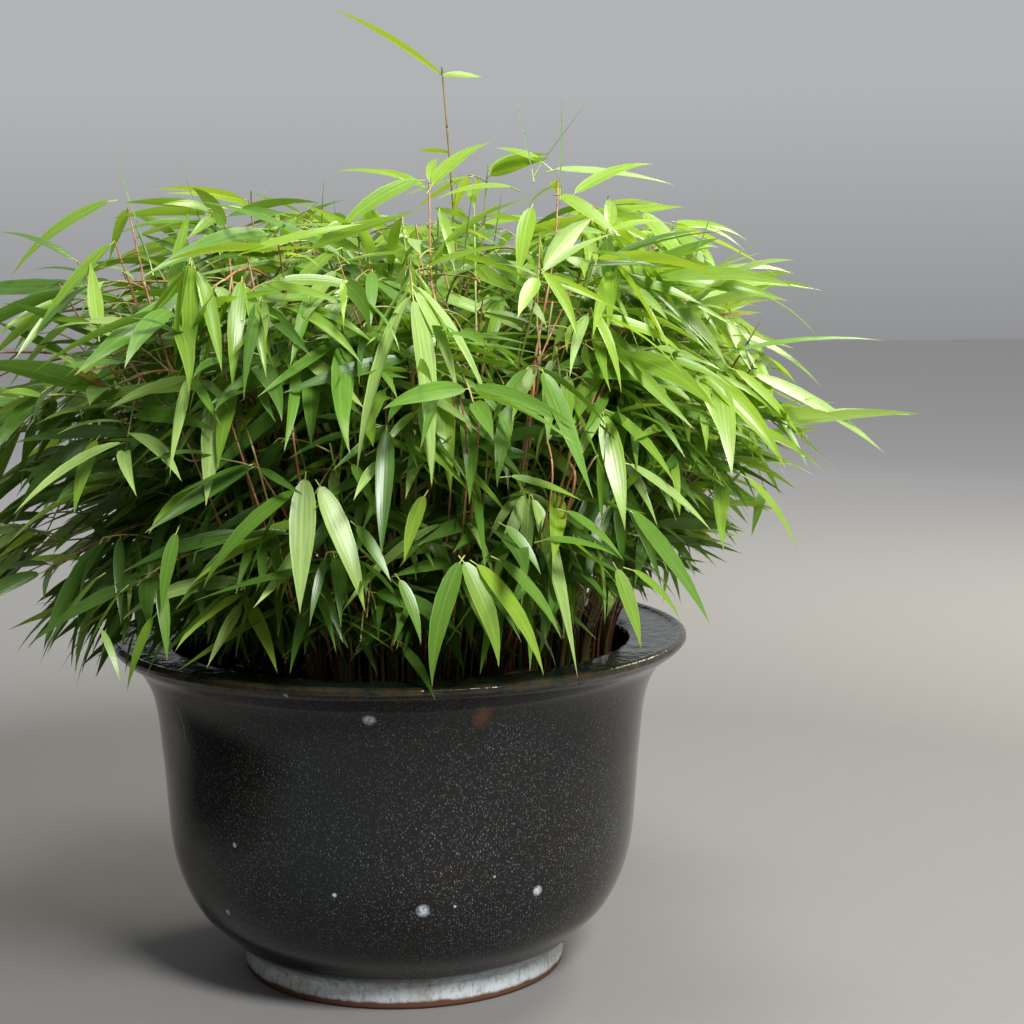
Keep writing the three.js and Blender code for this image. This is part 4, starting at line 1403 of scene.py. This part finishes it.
def leafMaterial(name, tint):
    # fine veins along the blade, a pale margin and rib, and light that shines through
    top, glow, glowShare, veinShare = tint
    paint = Paint(name)
    along = paint.place("UV")
    across = paint.axis(along, "X")
    fromRib = paint.maths("ABSOLUTE", across - 0.5) * 2.0
    veins = paint.maths("SINE", across * 32.0) * 0.5 + 0.5
    mottle = paint.noise(paint.place(), 28.0, 3.0, 0.6)
    streaks = paint.noise(paint.stretched(along, (9.0, 0.9, 1.0)), 2.4, 3.0, 0.6)
    paler = scaled(top, 1.4, 0.015)
    deeper = scaled(top, 0.72)
    margin = paint.rise(fromRib, 0.86, 1)
    rib = paint.fall(fromRib, 0.02, 0.12)
    colour = paint.mix(paint.rise(mottle, 0.35, 0.7), deeper, top)
    colour = paint.mix(paint.rise(streaks, 0.42, 0.6) * (veinShare * 1.1 + 0.05), colour, paler)
    colour = paint.mix(veins * veinShare, colour, deeper)
    colour = paint.mix((margin * 0.6 + rib * 0.45), colour, paler)
    colour = paint.mix(paint.rise(paint.axis(along, "Y"), 0.9, 1) * 0.6, colour, leafTip)
    bump = paint.height(veins * 0.5 + (1 - rib) * 0.5, 0.28 * veinShare, 0.0004)
    rough = 0.26 + mottle * 0.12
    sheen = paint.gloss({"Base Color": colour, "Roughness": rough, "Normal": bump, "IOR": 1.5})
    shine = paint.node("ShaderNodeBsdfTranslucent", None, {"Color": glow})
    return paint.finish(paint.node("ShaderNodeMixShader", None, [glowShare, sheen, shine]))


# Each kind of cane or stalk: its darker and its lighter tint, and the sides of its tubes.
caneTints = {
    "caneRed": (rgb(0.27, 0.105, 0.05), rgb(0.46, 0.22, 0.10), 8),
    "caneOlive": (rgb(0.2, 0.13, 0.04), rgb(0.36, 0.30, 0.08), 8),
    "caneGreen": (rgb(0.15, 0.24, 0.04), rgb(0.34, 0.42, 0.09), 8),
    "twig": (rgb(0.3, 0.24, 0.08), rgb(0.42, 0.40, 0.13), 5),
    "petiole": (rgb(0.36, 0.42, 0.08), rgb(0.5, 0.56, 0.15), 3),
}
nodeBloom = rgb(0.55, 0.5, 0.36)
tubes = {name: TubeBundle(sides) for name, (low, high, sides) in caneTints.items()}


def caneMaterial(name, tint):
    low, high, _ = tint
    paint = Paint(name)
    along = paint.place("UV")
    streak = paint.noise(paint.stretched(along, (6.0, 0.05, 1.0)), 2.0, 4.0, 0.6)
    blotch = paint.noise(paint.place(), 30.0)
    dark = scaled(low, 0.25)
    colour = paint.mix(paint.rise(blotch, 0.35, 0.68), low, high)
    height = paint.axis(paint.place(), "Z")
    # painted shade: each cane is darker towards its foot near the compost, where the crown shades it
    footShade = paint.fall((height + blotch * 0.05 - soilTop * mm) * 8.0, 0.1, 0.85)
    colour = paint.mix(footShade * 0.78, colour, dark)
    colour = paint.mix(paint.rise(streak, 0.5, 0.75) * 0.5, colour, dark)
    # a pale line and a dark scar at each node
    beat = paint.maths("FRACT", paint.axis(along, "Y") * (1.0 / cane["internode"]) + 0.5)
    scar = paint.ramp(beat, [(0.47, 0), (0.49, 1), (0.5, 1), (0.52, 0)])
    bloom = paint.ramp(beat, [(0.36, 0), (0.47, 1), (0.48, 0)])
    colour = paint.mix(bloom * 0.4, colour, nodeBloom)
    colour = paint.mix(scar * 0.8, colour, dark)
    bump = paint.height(streak, 0.2, 0.0004)
    return paint.finish(paint.gloss({"Base Color": colour, "Roughness": 0.45, "Normal": bump}))


def makePlant():
    canes = plantCanes()
    for own in canes:
        growCane(own)
    growTallCane()
    for own in youngCanes:
        growYoungCanes(own)
    growSpears(canes)
    growPictureLeaves()
    growPictureCanes()
    layLitter()
    labels = [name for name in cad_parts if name.startswith("cane_")]
    masses = [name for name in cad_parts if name.startswith("foliage_")]
    for name, bundle in tubes.items():
        piece = bundle.make(name + "s", caneMaterial(name, caneTints[name]))
        if name == "caneRed":
            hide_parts(*labels)
    for name, rows in heap.rows.items():
        points, faces, along = bladeArrays(rows)
        material = leafMaterial(name + "Leaf", leafTints[name])
        piece = makePiece(name + "Leaves", points, faces, material, along)
        if name == "mid":
            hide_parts(*masses)
    print("leaves", sum(len(rows) for rows in heap.rows.values()))


bpy.context.scene.view_settings.view_transform = studio["transform"]
bpy.context.scene.view_settings.exposure = studio["exposure"]
makeCamera()
makeSky()
makeLamps()
makeFloor()
makePot()
makeCompost()
makePlant()
